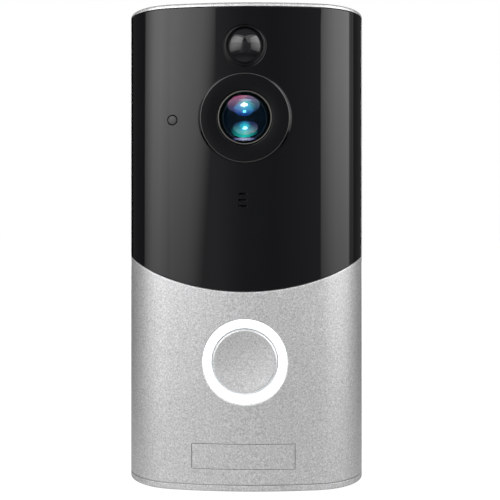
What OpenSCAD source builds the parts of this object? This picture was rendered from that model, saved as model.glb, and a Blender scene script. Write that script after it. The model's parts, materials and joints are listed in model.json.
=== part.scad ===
// Video doorbell with a battery, a wide-angle camera and a round call button.
// Row frame: X right, -Y towards the visitor, +Z up, in mm.
// The wall is the plane y = 0, and z = 0 is half way up the body.

/* [Body] */
// Width across the side walls
body_w = 64; // [56:1:72]
// Height from the end plate to the top
body_h = 127; // [110:1:145]
// Depth from the wall to the front's apex
body_d = 33; // [30:0.5:38]
// Radius of the shallow curve across the front
front_r = 110; // [90:1:140]
// Radius of the rounded vertical corners
corner_r = 15; // [12:0.5:18]
// Wall thickness of the front shell
wall_t = 2.2; // [1.8:0.1:2.6]
// Distance of the case joint from the wall
joint_d = 9; // [8.5:0.1:10]
// Thickness of the rear wall and of its rim
rear_t = 1.6; // [1.4:0.1:2]
// Thickness of the end plate at the bottom
plate_t = 1.75; // [1.2:0.05:2.5]

/* [Front panel] */
// Thickness of the dark panel
panel_t = 1.15; // [0.9:0.05:1.4]
// Radius of the panel's lower edge, seen from the front
arc_r = 62.1; // [56:0.1:70]
// Height of the middle of the panel's lower edge
arc_low_z = -11.66; // [-16:0.01:-8]
// Height of the silver band above the panel
band_t = 1.3; // [0.8:0.1:2]
// Radius of the camera boss at its face
boss_r = 11.6; // [10:0.1:13]
// How far the boss stands proud of the apex
boss_out = 0.3; // [0.1:0.05:0.8]
// Height of each sound slot
slot_w = 0.5; // [0.3:0.05:0.8]
// Length of each sound slot
slot_len = 2.4; // [1.5:0.1:4]
// Spacing of the sound slots
slot_pitch = 1.6; // [1.2:0.1:2]

/* [Camera] */
// Height of the camera's axis
cam_z = 33.4; // [28:0.1:38]
// Outer radius of the bright trim ring
trim_r = 7.2; // [6.5:0.05:8]
// How far the camera's glass bulges out of its rim
window_bulge = 0.9; // [0.3:0.05:1]
// Radius of the lens barrel
barrel_r = 6; // [5:0.05:6.5]
// Radius of the front lens
lens_r = 5.15; // [4.5:0.05:5.5]
// Travel of the infrared filter
filter_travel = 6.4; // [5:0.1:7]
// Radius of the circle the infrared lamps stand on
led_circle_r = 11.1; // [10:0.1:12]
// Number of infrared lamps
led_count = 6; // [4:1:8]

/* [Sensors] */
// Height of the motion sensor's axis
pir_z = 52.1; // [48:0.1:56]
// Radius of the motion sensor's dome
dome_r = 4.6; // [4:0.1:5.5]
// How far the dome bulges from its bezel
dome_rise = 1.9; // [1:0.1:3]
// Sideways place of the light sensor
light_x = -19; // [-22:0.1:-16]
// Height of the light sensor
light_z = 33; // [28:0.1:38]
// Radius of the light sensor's window
light_r = 1.3; // [1:0.05:1.6]
// Sideways place of the microphone
mic_x = -0.6; // [-3:0.1:3]
// Height of the microphone
mic_z = 12.1; // [8:0.1:16]

/* [Call button] */
// Height of the button's axis
bell_z = -29.9; // [-34:0.1:-26]
// Outer radius of the light ring
ring_r = 11; // [10:0.05:12]
// Bore of the light ring
ring_bore_r = 8.7; // [8:0.05:9.5]
// Radius of the button cap
cap_r = 8.45; // [7.5:0.05:9]
// Travel of the button
bell_travel = 0.6; // [0.3:0.05:1]
// Number of lamps under the light ring
ring_led_count = 8; // [6:1:12]

/* [Name plate] */
// Length of the name plate's pocket
name_w = 27.2; // [22:0.1:32]
// Height of the name plate's pocket
name_h = 6.8; // [5:0.1:8]
// Sideways place of the name plate
name_x = -0.4; // [-2:0.1:2]
// Height of the name plate's middle
name_z = -54.5; // [-56:0.1:-50]

/* [Battery] */
// Radius of a cell
cell_r = 9.15; // [9:0.05:9.2]
// Length of a cell
cell_len = 65; // [64:0.5:66]
// Height of the cells' lower ends
cell_z = -50; // [-51:0.5:-49]
// Distance of the cells' axes from the wall
cell_d = 16.4; // [16:0.1:17]

/* [Wall bracket] */
// Thickness of the bracket
bracket_t = 2.5; // [2:0.1:3]
// Sideways place of the wall screws and hooks
screw_x = 25; // [22:0.5:26]
// Height of the wall screws above and below the middle
screw_z = 28; // [24:0.5:32]
// Radius of a wall screw hole
screw_hole_r = 2.1; // [1.8:0.05:2.4]
// Height of the hooks' seats above and below the middle
hook_z = 41; // [38:0.5:43]
// How far the unit lifts to clear the hooks
lift = 6; // [5:0.5:7]

/* [Output] */
// Which node to draw

/* [Hidden] */
// facets of small, middling and large round features
fn_s = 32;
fn_m = 64;
fn_l = 96;
eps = 0.05;
half_w = body_w / 2;
half_h = body_h / 2;
front_y = -body_d;
joint_y = -joint_d;
// centres of the front arc and of the right corner arc, in plan
front_cy = front_y + front_r;
corner_cx = half_w - corner_r;
corner_cy = front_cy - sqrt(pow(front_r - corner_r, 2) - pow(corner_cx, 2));
// the corner arc ends and the front arc starts at this bearing
meet_a = asin(corner_cx / (front_r - corner_r));
corner_steps = 20;
front_steps = 16;
// seat of the panel in the front shell
seat_t = panel_t + eps;
seat_gap = 0.12;
// the lower edge is drawn over this bearing to each side, in this many steps
edge_a = 33.5;
edge_steps = 48;
panel_side_y = -20.5;
// the panel's back at its apex; it curves away to the wall on both sides
panel_back = front_y + panel_t;
arc_cz = arc_low_z + arc_r;
panel_top = half_h - band_t;
// planes inside, named by what stands on them
shell_floor = -half_h + plate_t;
board_y = -27.8;
board_t = 1;
tub_front = -26.6;
tub_t = 1;
tub_x = 20;
tub_low = -54;
tub_top = 18.6;
rear_in = -6.6;
rear_out = rear_in + rear_t;
main_y = -12.6;
led_y = -28.8;
holder_front = -24;
cam_board_y = -14.4;
boss_y = front_y - boss_out;
pivot_y = -5.9;
door_pivot_z = -51.3;
door_half = 18.5;
door_top = 16.4;
flap_x = -18.9;
flap_y = -3.9;
usb_x = -12;
usb_z = 46;
reset_x = 12;
terminal_z = 30;
case_screw_zs = [57, 0, -57];
front_post_x = 19.5;
front_post_zs = [56, 10, -16, -44];
main_post_x = 18;
main_post_zs = [24, 57];
leg_x = 14.5;
end_screw_y = -18;
speaker_y = -18;
secure_y = -6.1;
window_x = 20.5;
// the cap's face is a shallow dish of this radius, out to dish_r
dish = 55;
dish_r = 7.9;
dish_steps = 6;

// points of an arc about (cx, cy), from bearing a0 to a1 in equal steps
function arc_pts(cx, cy, r, a0, a1, steps) =
  [for (i = [0:steps]) let (a = a0 + (a1 - a0) * i / steps) [cx + r * cos(a), cy + r * sin(a)]];

// plan outline of the body, drawn in by t, with a straight back at y = back
function plan_pts(t, back) = concat(
  [[-half_w + t, back]],
  arc_pts(-corner_cx, corner_cy, corner_r - t, 180, 270 - meet_a, corner_steps),
  [for (i = [1:front_steps - 1])
    let (a = 270 - meet_a + 2 * meet_a * i / front_steps)
    [(front_r - t) * cos(a), front_cy + (front_r - t) * sin(a)]],
  arc_pts(corner_cx, corner_cy, corner_r - t, 270 + meet_a, 360, corner_steps),
  [[half_w - t, back]]
);

module plan(t, back, z0, z1) {
  translate([0, 0, z0]) linear_extrude(height = z1 - z0) polygon(plan_pts(t, back));
}

// everything above the panel's lower edge, with the edge's radius grown by grow
module above_edge(grow) {
  r = arc_r + grow;
  translate([0, 1, 0]) rotate([90, 0, 0]) linear_extrude(height = body_d + 5)
    polygon(concat([[-half_w - 2, half_h + 5]], arc_pts(0, arc_cz, r, 270 - edge_a, 270 + edge_a, edge_steps),
      [[half_w + 2, half_h + 5]]));
}

// wall of the body between insets t0 and t1
module skin(t0, t1, back, z0, z1) {
  difference() {
    plan(t0, back, z0, z1);
    plan(t1, back + 1, z0 - 1, z1 + 1);
  }
}

// box between two corners
module block(x0, x1, y0, y1, z0, z1) {
  translate([x0, y0, z0]) cube([x1 - x0, y1 - y0, z1 - z0]);
}

// box with its middle at (x, z), between y0 and y1
module pad(x, z, w, h, y0, y1) {
  block(x - w / 2, x + w / 2, y0, y1, z - h / 2, z + h / 2);
}

// round bar along Y between y0 and y1, with radius r0 at y0 and r1 at y1
module bar(x, z, y0, y1, r0, r1, fn = fn_s) {
  translate([x, y1, z]) rotate([90, 0, 0]) cylinder(h = y1 - y0, r1 = r1, r2 = r0, $fn = fn);
}

// tube along Y
module tube(x, z, y0, y1, ro, ri, fn = fn_m) {
  difference() {
    bar(x, z, y0, y1, ro, ro, fn);
    bar(x, z, y0 - 1, y1 + 1, ri, ri, fn);
  }
}

// plate in the XZ plane with rounded corners of radius r
module round_plate(x, z, w, h, r, y0, y1) {
  translate([x, y1, z]) rotate([90, 0, 0]) linear_extrude(height = y1 - y0) rounded(w, h, r);
}

module rounded(w, h, r) {
  union() {
    square([w - 2 * r, h], center = true);
    square([w, h - 2 * r], center = true);
    for (sx = [-1, 1], sy = [-1, 1])
      translate([sx * (w / 2 - r), sy * (h / 2 - r)]) circle(r = r, $fn = fn_s);
  }
}

// round bar along X, for pivots
module axle(x0, x1, y, z, r) {
  translate([x0, y, z]) rotate([0, 90, 0]) cylinder(h = x1 - x0, r = r, $fn = fn_s);
}

// screw along Y: its head between y_seat and y_top, its shank down to y_tip
module screw(x, z, y_tip, y_seat, y_top, shank_r, head_r) {
  difference() {
    union() {
      bar(x, z, y_tip, y_seat + eps, shank_r, shank_r);
      bar(x, z, y_seat, y_top, head_r, head_r * 0.86);
    }
    pad(x, z, head_r * 1.2, head_r * 0.3, y_top - (y_top - y_seat) * 0.5, y_top + 1);
    pad(x, z, head_r * 0.3, head_r * 1.2, y_top - (y_top - y_seat) * 0.5, y_top + 1);
  }
}

// countersunk screw pushed forwards into a board, flush with the board's back
module flush_screw(x, z, y_tip, y_back, shank_r, head_r) {
  difference() {
    union() {
      bar(x, z, y_tip, y_back, shank_r, shank_r);
      bar(x, z, y_back - 0.6, y_back, shank_r, head_r);
    }
    pad(x, z, head_r * 1.1, head_r * 0.28, y_back - 0.35, y_back + 1);
  }
}

// ---------------------------------------------------------------- bracket

module hook(x, z) {
  block(x - 3, x + 3, -8.1, -bracket_t + eps, z - 2.4, z);
  block(x - 3, x + 3, -8.1, -6.7, z - 2.4, z + 4);
}

module wall_bracket() {
  top = half_h - 2.5;
  color([0.13, 0.13, 0.14]) difference() {
    union() {
      round_plate(0, (top - half_h + plate_t) / 2, body_w - 5, top + half_h - plate_t, 3,
        -bracket_t, 0);
      block(-29.5, 29.5, -bracket_t, 0, -half_h + 0.2, -half_h + 6);
      block(-29.9, 29.9, -8.7, 0, -half_h, -half_h + 1.65);
      for (sx = [-1, 1], sz = [-1, 1]) hook(sx * screw_x, sz * hook_z);
      // ribs that stiffen the side bars beside the windows
      for (sx = [-1, 1]) block(sx * 21.2 - 0.6, sx * 21.2 + 0.6, -bracket_t - 0.9, -bracket_t + eps, -12, 18);
    }
    // battery window and service window
    round_plate(0, -15, 2 * window_x, 77, 2.5, -bracket_t - 1.5, 1);
    round_plate(0, 42, 2 * window_x, 30, 2.5, -bracket_t - 1.5, 1);
    for (sx = [-1, 1], sz = [-1, 1]) {
      bar(sx * screw_x, sz * screw_z, -bracket_t - 1, 1, screw_hole_r, screw_hole_r);
      bar(sx * screw_x, sz * screw_z, -bracket_t - eps, -bracket_t + 1.5, 3.7, screw_hole_r);
    }
    // clearance and countersink for the security screw
    translate([0, secure_y, -half_h - 1]) cylinder(h = 4, r = 1.5, $fn = fn_s);
    translate([0, secure_y, -half_h - eps]) cylinder(h = 1.2, r1 = 2.7, r2 = 1.5, $fn = fn_s);
  }
}

module security_screw() {
  color([0.72, 0.72, 0.74]) difference() {
    union() {
      translate([0, secure_y, -half_h + 1]) cylinder(h = 7, r = 1.2, $fn = fn_s);
      translate([0, secure_y, -half_h]) cylinder(h = 1.2, r1 = 2.5, r2 = 1.2, $fn = fn_s);
    }
    // six-sided driver socket
    translate([0, secure_y, -half_h - 1]) cylinder(h = 1.7, r = 0.9, $fn = 6);
  }
}

// ---------------------------------------------------------------- case

module rear_outline() {
  polygon([[-half_w, joint_y], [-half_w, -1.4], [-half_w + 0.6, -0.8],
    [half_w - 0.6, -0.8], [half_w, -1.4], [half_w, joint_y]]);
}

// closed pocket in the rear wall that takes one hook
module pocket_walls(x, z) {
  block(x - 4.4, x + 4.4, -10.4, rear_in + eps, z - 10, z + 6);
}

module pocket_cut(x, z) {
  block(x - 3.4, x + 3.4, -9.4, rear_in, z - 9, z + 5);
  block(x - 3.4, x + 3.4, -9.4, rear_out + 1, z - 9, z + 0.1);
}

module rear_housing() {
  inner = half_w - 1.8;
  color([0.16, 0.16, 0.17]) difference() {
    union() {
      difference() {
        translate([0, 0, -half_h]) linear_extrude(height = body_h) rear_outline();
        block(-inner, inner, joint_y - 1, rear_in, -half_h + 3.5, half_h - 1.8);
        block(-inner, inner, rear_out, 1, -half_h - 1, half_h - 1.8);
        block(-inner, inner, joint_y - 1, 1, -half_h - 1, -half_h + plate_t);
      }
      // battery tub
      difference() {
        block(-tub_x, tub_x, tub_front, rear_in + eps, tub_low, tub_top);
        block(-tub_x + tub_t, tub_x - tub_t, tub_front + tub_t, rear_out + 1,
          tub_low + tub_t, tub_top - tub_t);
      }
      for (sx = [-1, 1], sz = [-1, 1]) pocket_walls(sx * screw_x, sz * hook_z);
      // ears for the door's pivot
      for (sx = [-1, 1]) block(sx * 20.05 - 1.25, sx * 20.05 + 1.25, -8, -3.7, -53.3, -49.3);
      // posts of the main board
      for (sx = [-1, 1], z = main_post_zs) bar(sx * main_post_x, z, main_y + board_t, rear_in + eps, 2.2, 2.6);
      // block that takes the security screw
      block(-3.2, 3.2, -8.9, -3.6, -half_h + plate_t, -55);
      // ears for the flap's pivot
      for (sz = [-1, 1])
        block(flap_x - 1.1, flap_x + 1.1, rear_out - eps, -2.9, usb_z + sz * 4.6 - 0.6, usb_z + sz * 4.6 + 0.6);
    }
    // door opening, and what it leaves of the rear wall
    block(-door_half - 0.3, door_half + 0.3, rear_in - 0.1, 0, -52.8, 16.8);
    for (sx = [-1, 1], sz = [-1, 1]) pocket_cut(sx * screw_x, sz * hook_z);
    for (sx = [-1, 1]) axle(sx * 19.75 - 1.25, sx * 19.75 + 1.25, pivot_y, door_pivot_z, 1.08);
    for (sx = [-1, 1], z = main_post_zs) bar(sx * main_post_x, z, main_y - 1, -7.2, 0.8, 0.8);
    for (sx = [-1, 1], z = case_screw_zs) bar(sx * screw_x, z, rear_in - 1, rear_out + 1, 1.15, 1.15);
    translate([0, secure_y, -half_h]) cylinder(h = 8, r = 1.35, $fn = fn_s);
    pad(0, terminal_z, 14.4, 8.4, rear_in - 1, rear_out + 1);
    pad(usb_x, usb_z, 9.7, 4, rear_in - 1, rear_out + 1);
    bar(reset_x, usb_z, rear_in - 1, rear_out + 1, 2.3, 2.3);
    translate([flap_x, flap_y, usb_z - 6]) cylinder(h = 12, r = 0.63, $fn = fn_s);
  }
  color([0.16, 0.16, 0.17]) {
    // stop that the closed door rests on
    block(-4, 4, -8.2, -6.85, 16, tub_top - tub_t);
  }
}

module front_holes() {
  bar(0, cam_z, front_y - 1, -20, 12.8, 12.8, fn_m);
  bar(0, pir_z, front_y - 1, -20, 6.5, 6.5, fn_m);
  bar(light_x, light_z, front_y - 1, -25, 1.9, 1.9);
  bar(mic_x, mic_z, front_y - 1, -25, 2.6, 2.6);
  bar(0, bell_z, front_y - 2, -25, ring_r + eps, ring_r + eps, fn_l);
}

// the space the panel takes in the shell
module panel_seat() {
  intersection() {
    skin(-1, seat_t, joint_y, arc_low_z - 5, panel_top + 0.1);
    above_edge(seat_gap);
    block(-half_w - 2, half_w + 2, front_y - 2, panel_side_y + 0.12, -half_h, half_h);
  }
}

module front_shell() {
  color([0.74, 0.74, 0.75]) difference() {
    union() {
      skin(0, wall_t, joint_y, shell_floor, half_h);
      plan(0, joint_y, half_h - wall_t, half_h);
      plan(0, joint_y, shell_floor, shell_floor + plate_t);
      // columns of the case screws
      intersection() {
        for (sx = [-1, 1], z = case_screw_zs) bar(sx * screw_x, z, -30, rear_in - eps, 2.75, 2.75);
        plan(1.4, -1, -half_h, half_h);
      }
      // posts of the two front boards
      intersection() {
        for (sx = [-1, 1], z = front_post_zs) bar(sx * front_post_x, z, -30.5, board_y, 1.8, 1.8);
        plan(1.4, -1, -half_h, half_h);
      }
      for (sx = [-1, 1])
        translate([sx * screw_x, end_screw_y, shell_floor]) cylinder(h = 6, r = 2.4, $fn = fn_s);
    }
    panel_seat();
    front_holes();
    for (sx = [-1, 1], z = case_screw_zs) bar(sx * screw_x, z, -15, 0, 1, 1);
    for (sx = [-1, 1], z = front_post_zs) bar(sx * front_post_x, z, -29.6, -20, 0.6, 0.6);
    // pocket of the name plate
    intersection() {
      skin(-1, 0.9, joint_y, name_z - name_h / 2, name_z + name_h / 2);
      pad(name_x, name_z, name_w, name_h, front_y - 2, 0);
    }
    // sound opening and screw holes in the floor
    block(-11, 11, speaker_y - 4.6, speaker_y + 4.6, shell_floor - 1, shell_floor + 3);
    for (sx = [-1, 1])
      translate([sx * screw_x, end_screw_y, shell_floor - 1]) cylinder(h = 6, r = 0.8, $fn = fn_s);
    // groove of the gasket
    gasket_loop(joint_y - 0.65, joint_y + 1, eps);
  }
}

module gasket_loop(y0, y1, grow) {
  low = shell_floor + 0.45 - grow;
  high = half_h - 0.7 + grow;
  out = half_w - 0.7 + grow;
  w = 0.8 + 2 * grow;
  difference() {
    block(-out, out, y0, y1, low, high);
    block(-out + w, out - w, y0 - 1, y1 + 1, low + w, high - w);
  }
}

module case_gasket() {
  color([0.08, 0.08, 0.08]) gasket_loop(joint_y - 0.6, joint_y - 0.02, 0);
}

module front_panel() {
  color([0.05, 0.05, 0.055]) difference() {
    union() {
      intersection() {
        skin(0, panel_t, joint_y, arc_low_z - 5, panel_top);
        above_edge(0);
        block(-half_w - 1, half_w + 1, front_y - 1, panel_side_y, -half_h, half_h);
      }
      bar(0, cam_z, boss_y, boss_y + 1.3, boss_r, boss_r + 1.3, fn_l);
    }
    bar(0, cam_z, boss_y - 1, -20, trim_r + eps, trim_r + eps, fn_m);
    bar(0, pir_z, front_y - 1, -20, 5.4, 5.4, fn_m);
    bar(light_x, light_z, front_y - 1, -25, light_r + eps, light_r + eps);
    for (i = [-1, 0, 1])
      pad(mic_x, mic_z + i * slot_pitch, slot_len, slot_w, front_y - 1, -30);
  }
}

module end_plate() {
  color([0.74, 0.74, 0.75]) difference() {
    plan(0, joint_y, -half_h, shell_floor - eps);
    for (i = [-3:3], j = [-1, 0, 1])
      translate([i * 2.8, speaker_y + j * 2.8, -half_h - 1]) cylinder(h = 4, r = 0.8, $fn = 16);
    for (sx = [-1, 1]) {
      translate([sx * screw_x, end_screw_y, -half_h - 1]) cylinder(h = 4, r = 1.1, $fn = fn_s);
      translate([sx * screw_x, end_screw_y, -half_h - eps]) cylinder(h = 1.15, r1 = 2.1, r2 = 1.1, $fn = fn_s);
    }
  }
}

module end_plate_screws() {
  color([0.72, 0.72, 0.74]) for (sx = [-1, 1]) difference() {
    union() {
      translate([sx * screw_x, end_screw_y, -half_h + 0.3]) cylinder(h = 5.6, r = 0.75, $fn = fn_s);
      translate([sx * screw_x, end_screw_y, -half_h + 0.05]) cylinder(h = 1, r1 = 1.9, r2 = 0.9, $fn = fn_s);
    }
    translate([sx * screw_x, end_screw_y, -half_h - 1]) cylinder(h = 1.6, r = 0.7, $fn = 6);
  }
}

module name_plate() {
  gap = 0.2;
  color([0.74, 0.74, 0.75]) intersection() {
    skin(0, 0.85, joint_y, name_z - name_h / 2 + gap, name_z + name_h / 2 - gap);
    pad(name_x, name_z, name_w - 2 * gap, name_h - 2 * gap, front_y - 2, 0);
  }
}

module case_screws() {
  color([0.72, 0.72, 0.74])
    for (sx = [-1, 1], z = case_screw_zs) screw(sx * screw_x, z, -14, rear_out, rear_out + 1.5, 0.95, 2);
}

// ---------------------------------------------------------------- camera

module camera_window() {
  glass_r = 6.5;
  glass_t = 0.8;
  rim = boss_y + 0.15;
  ball = (glass_r * glass_r + window_bulge * window_bulge) / (2 * window_bulge);
  span = asin(glass_r / ball);
  steps = 10;
  dome = [
    for (i = [0:steps]) let (a = span * (1 - i / steps))
      [ball * sin(a), window_bulge - ball * (1 - cos(a))]
  ];
  color([0.75, 0.8, 0.85, 0.35])
    translate([0, rim, cam_z]) rotate([90, 0, 0]) rotate_extrude($fn = fn_m)
      polygon(concat([[0, -glass_t], [glass_r + 0.1, -glass_t]], dome));
}

module lens_trim_ring() {
  color([0.8, 0.8, 0.82]) difference() {
    union() {
      bar(0, cam_z, boss_y - 0.2, boss_y + 0.1, trim_r - 0.25, trim_r, fn_m);
      bar(0, cam_z, boss_y + 0.1, boss_y + 2, trim_r, trim_r, fn_m);
      bar(0, cam_z, panel_back + 0.4, front_y + 1.8, 8.4, 8.4, fn_m);
    }
    bar(0, cam_z, boss_y - 1, boss_y + 1, 6.65, 6.65, fn_m);
    bar(0, cam_z, boss_y, -20, 6.1, 6.1, fn_m);
  }
}

module lens_retaining_ring() {
  color([0.3, 0.28, 0.34]) difference() {
    bar(0, cam_z, -32.05, -30.2, 5.5, 5.72, fn_m);
    bar(0, cam_z, -32.06, -31.3, 5.4, lens_r + 0.08, fn_m);
    bar(0, cam_z, -33, -28, lens_r + 0.08, lens_r + 0.08, fn_m);
  }
}

module lens_front_element() {
  front = -32.3;
  ball = 7;
  sag = ball - sqrt(ball * ball - lens_r * lens_r);
  color([0.55, 0.6, 0.75, 0.5]) difference() {
    intersection() {
      translate([0, front + ball, cam_z]) sphere(r = ball, $fn = fn_m);
      bar(0, cam_z, front - 1, front + sag + 0.9, lens_r, lens_r, fn_m);
    }
    translate([0, front + sag + 2.6, cam_z]) sphere(r = 3.6, $fn = fn_m);
  }
}

module lens_inner_element() {
  color([0.6, 0.65, 0.75, 0.5]) intersection() {
    translate([0, -21.2, cam_z]) sphere(r = 5, $fn = fn_m);
    translate([0, -28.2, cam_z]) sphere(r = 5, $fn = fn_m);
    bar(0, cam_z, -28, -20, 3, 3, fn_m);
  }
}

module lens_barrel() {
  color([0.09, 0.09, 0.1]) difference() {
    union() {
      bar(0, cam_z, -32.1, -31.7, barrel_r - 0.15, barrel_r, fn_m);
      bar(0, cam_z, -31.7, -18.8, barrel_r, barrel_r, fn_m);
    }
    bar(0, cam_z, -33, -29.05, 5.78, 5.78, fn_m);
    bar(0, cam_z, -29.1, -27.8, 4.6, 3.1, fn_m);
    bar(0, cam_z, -27.9, -23.5, 3.1, 3.1, fn_m);
    bar(0, cam_z, -23.6, -22, 2.2, 2.2, fn_m);
    bar(0, cam_z, -22.2, -18, 4.2, 4.2, fn_m);
  }
}

module lens_holder() {
  color([0.1, 0.1, 0.11]) difference() {
    union() {
      pad(0, cam_z, 24, 15, holder_front, cam_board_y);
      bar(0, cam_z, -27.9, holder_front + eps, 7.4, 7.4, fn_m);
      pad(0, cam_z, 2 * leg_x, 3.6, -20, -18);
      for (sx = [-1, 1]) {
        bar(sx * 10.9, cam_z, led_y, holder_front + eps, 1, 1);
        bar(sx * leg_x, cam_z, -20, main_y, 2, 2);
      }
    }
    bar(0, cam_z, -28, -18.6, barrel_r + eps, barrel_r + eps, fn_m);
    pad(0, cam_z, 7, 6.4, -18.7, -17.8);
    pad(0, cam_z, 21.2, 8.4, -17.9, -16.5);
    pad(0, cam_z, 10, 10, -16.6, -13);
    for (sx = [-1, 1]) bar(sx * leg_x, cam_z, -17, -12, 0.8, 0.8);
    for (sx = [-1, 1], sz = [-1, 1]) bar(sx * 9.5, cam_z + sz * 5.9, -16, -14, 0.65, 0.65);
  }
}

module ir_filter_frame() {
  color([0.12, 0.12, 0.13]) difference() {
    block(-3.6, 10.2, -17.75, -16.65, cam_z - 4, cam_z + 4);
    pad(0, cam_z, 5.2, 5.6, -18, -16);
    pad(0, cam_z, 5.7, 6.1, -17.3, -16);
    pad(filter_travel, cam_z, 5.2, 5.6, -18, -16);
  }
}

module ir_cut_glass() {
  color([0.5, 0.75, 0.75, 0.5]) pad(0, cam_z, 5.6, 6, -17.28, -16.7);
}

module image_sensor() {
  color([0.16, 0.2, 0.18]) difference() {
    pad(0, cam_z, 8, 8, -15.8, cam_board_y);
    pad(0, cam_z, 5.6, 4.4, -16, -15.4);
  }
}

module camera_board() {
  color([0.05, 0.25, 0.12]) difference() {
    pad(0, cam_z, 23, 15.4, cam_board_y, cam_board_y + board_t);
    for (sx = [-1, 1], sz = [-1, 1]) bar(sx * 9.5, cam_z + sz * 5.9, -16, -12, 0.7, 0.7);
  }
}

module camera_screws() {
  color([0.72, 0.72, 0.74]) {
    for (sx = [-1, 1], sz = [-1, 1])
      screw(sx * 9.5, cam_z + sz * 5.9, -15.9, cam_board_y + board_t, cam_board_y + board_t + 0.6, 0.6, 1.1);
    for (sx = [-1, 1]) screw(sx * leg_x, cam_z, -16.5, main_y + board_t, main_y + board_t + 1, 0.75, 1.6);
  }
}

module light_baffle() {
  color([0.07, 0.07, 0.07]) tube(0, cam_z, -31.15, -28, 8.2, 6.2);
}

module ir_led_board() {
  color([0.05, 0.25, 0.12]) tube(0, cam_z, led_y - 0.8, led_y, 13.5, 8.6);
}

module ir_leds() {
  color([0.2, 0.18, 0.16]) for (i = [0:led_count - 1])
    translate([0, 0, cam_z]) rotate([0, i * 360 / led_count + 30, 0]) translate([0, 0, -cam_z])
      difference() {
        pad(led_circle_r, cam_z, 2.2, 2.2, led_y - 1.6, led_y - 0.8);
        bar(led_circle_r, cam_z, led_y - 2, led_y - 1.4, 0.85, 0.85);
      }
}

// ---------------------------------------------------------------- sensors

module pir_dome() {
  ball = (dome_r * dome_r + dome_rise * dome_rise) / (2 * dome_rise);
  base = -32.3;
  mid = base - dome_rise + ball;
  color([0.1, 0.1, 0.11]) difference() {
    union() {
      intersection() {
        translate([0, mid, pir_z]) sphere(r = ball, $fn = fn_m);
        bar(0, pir_z, base - 5, base, dome_r, dome_r, fn_m);
      }
      bar(0, pir_z, base, -30.8, dome_r, dome_r, fn_m);
      bar(0, pir_z, -31.2, -30.8, 5.9, 5.9, fn_m);
    }
    translate([0, mid, pir_z]) sphere(r = ball - 0.9, $fn = fn_m);
  }
}

module pir_bezel() {
  color([0.07, 0.07, 0.08]) difference() {
    union() {
      bar(0, pir_z, front_y - 0.05, front_y + 1.5, 5.3, 5.3, fn_m);
      bar(0, pir_z, panel_back + 0.25, -31.25, 6.3, 6.3, fn_m);
    }
    bar(0, pir_z, front_y - 1, front_y + 0.6, 5.2, 4.7, fn_m);
    bar(0, pir_z, front_y - 1, -30, 4.65, 4.65, fn_m);
  }
}

module pir_sensor() {
  color([0.7, 0.7, 0.68]) difference() {
    union() {
      bar(0, pir_z, -30.4, board_y, 3.2, 3.2, fn_m);
      bar(0, pir_z, -28.4, board_y, 4.4, 4.4, fn_m);
    }
    pad(0, pir_z, 3.4, 3, -31, -30.1);
  }
}

module light_pipe() {
  color([0.75, 0.75, 0.7, 0.6]) union() {
    bar(light_x, light_z, -30.85, -28.6, light_r, light_r);
    bar(light_x, light_z, -29.5, -28.9, 1.8, 1.8);
  }
}

module light_sensor() {
  color([0.2, 0.2, 0.2]) difference() {
    pad(light_x, light_z, 2, 2, board_y - 0.75, board_y);
    pad(light_x, light_z, 1.2, 1.2, board_y - 1, board_y - 0.6);
  }
}

module mic_boot() {
  color([0.08, 0.08, 0.08]) difference() {
    bar(mic_x, mic_z, -31.75, -28.85, 2.5, 2.5);
    bar(mic_x, mic_z, -33, -30.4, 2.1, 1.6);
    bar(mic_x, mic_z, -30.5, -28, 0.6, 0.6);
  }
}

module mic_capsule() {
  color([0.75, 0.7, 0.55]) difference() {
    pad(mic_x, mic_z, 3.5, 2.7, board_y - 1, board_y);
    bar(mic_x, mic_z, board_y - 2, board_y - 0.6, 0.35, 0.35, 16);
  }
}

module sensor_board() {
  color([0.05, 0.25, 0.12]) difference() {
    block(-21.9, 21.9, board_y, board_y + board_t, 7, 59.5);
    bar(0, cam_z, board_y - 1, board_y + 2, 12.3, 12.3, fn_m);
    for (sx = [-1, 1], i = [0, 1]) board_hole(sx * front_post_x, front_post_zs[i]);
  }
}

// hole in a front board for a flush screw
module board_hole(x, z) {
  bar(x, z, board_y - 1, board_y + 2, 0.7, 0.7);
  bar(x, z, board_y + board_t - 0.7, board_y + board_t + eps, 0.7, 1.35);
}

module front_board_screws() {
  color([0.72, 0.72, 0.74])
    for (sx = [-1, 1], z = front_post_zs)
      flush_screw(sx * front_post_x, z, -29.5, board_y + board_t - 0.02, 0.55, 1.15);
}

// ---------------------------------------------------------------- main board

module main_board() {
  color([0.05, 0.25, 0.12]) difference() {
    block(-22, 22, main_y, main_y + board_t, 20, 60);
    for (sx = [-1, 1], z = main_post_zs) bar(sx * main_post_x, z, -14, -10, 0.9, 0.9);
    for (sx = [-1, 1]) bar(sx * leg_x, cam_z, -14, -10, 0.9, 0.9);
    // notches that clear the case's ribs
    for (sx = [-1, 1]) pad(sx * 22, 40, 3, 8, -14, -10);
  }
}

module main_board_screws() {
  color([0.72, 0.72, 0.74]) for (sx = [-1, 1], z = main_post_zs)
    rotate([0, 0, 180]) screw(-sx * main_post_x, z, 8.2, -main_y, -main_y + 1.1, 0.75, 1.6);
}

module main_chips() {
  color([0.07, 0.07, 0.08]) {
    pad(9, 51, 9, 9, main_y - 1.1, main_y);
    pad(17.5, 51, 5, 7, main_y - 0.9, main_y);
    pad(17.5, 44.5, 3.2, 3.2, main_y - 0.8, main_y);
  }
}

module rf_shield() {
  color([0.75, 0.75, 0.76]) difference() {
    pad(-8, 51, 17, 11, main_y - 2.4, main_y);
    pad(-8, 51, 16.4, 10.4, main_y - 2.1, main_y + 1);
    for (i = [-2:2]) bar(-8 + i * 2.6, 51, main_y - 3, main_y - 2, 0.5, 0.5, 16);
  }
}

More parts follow.
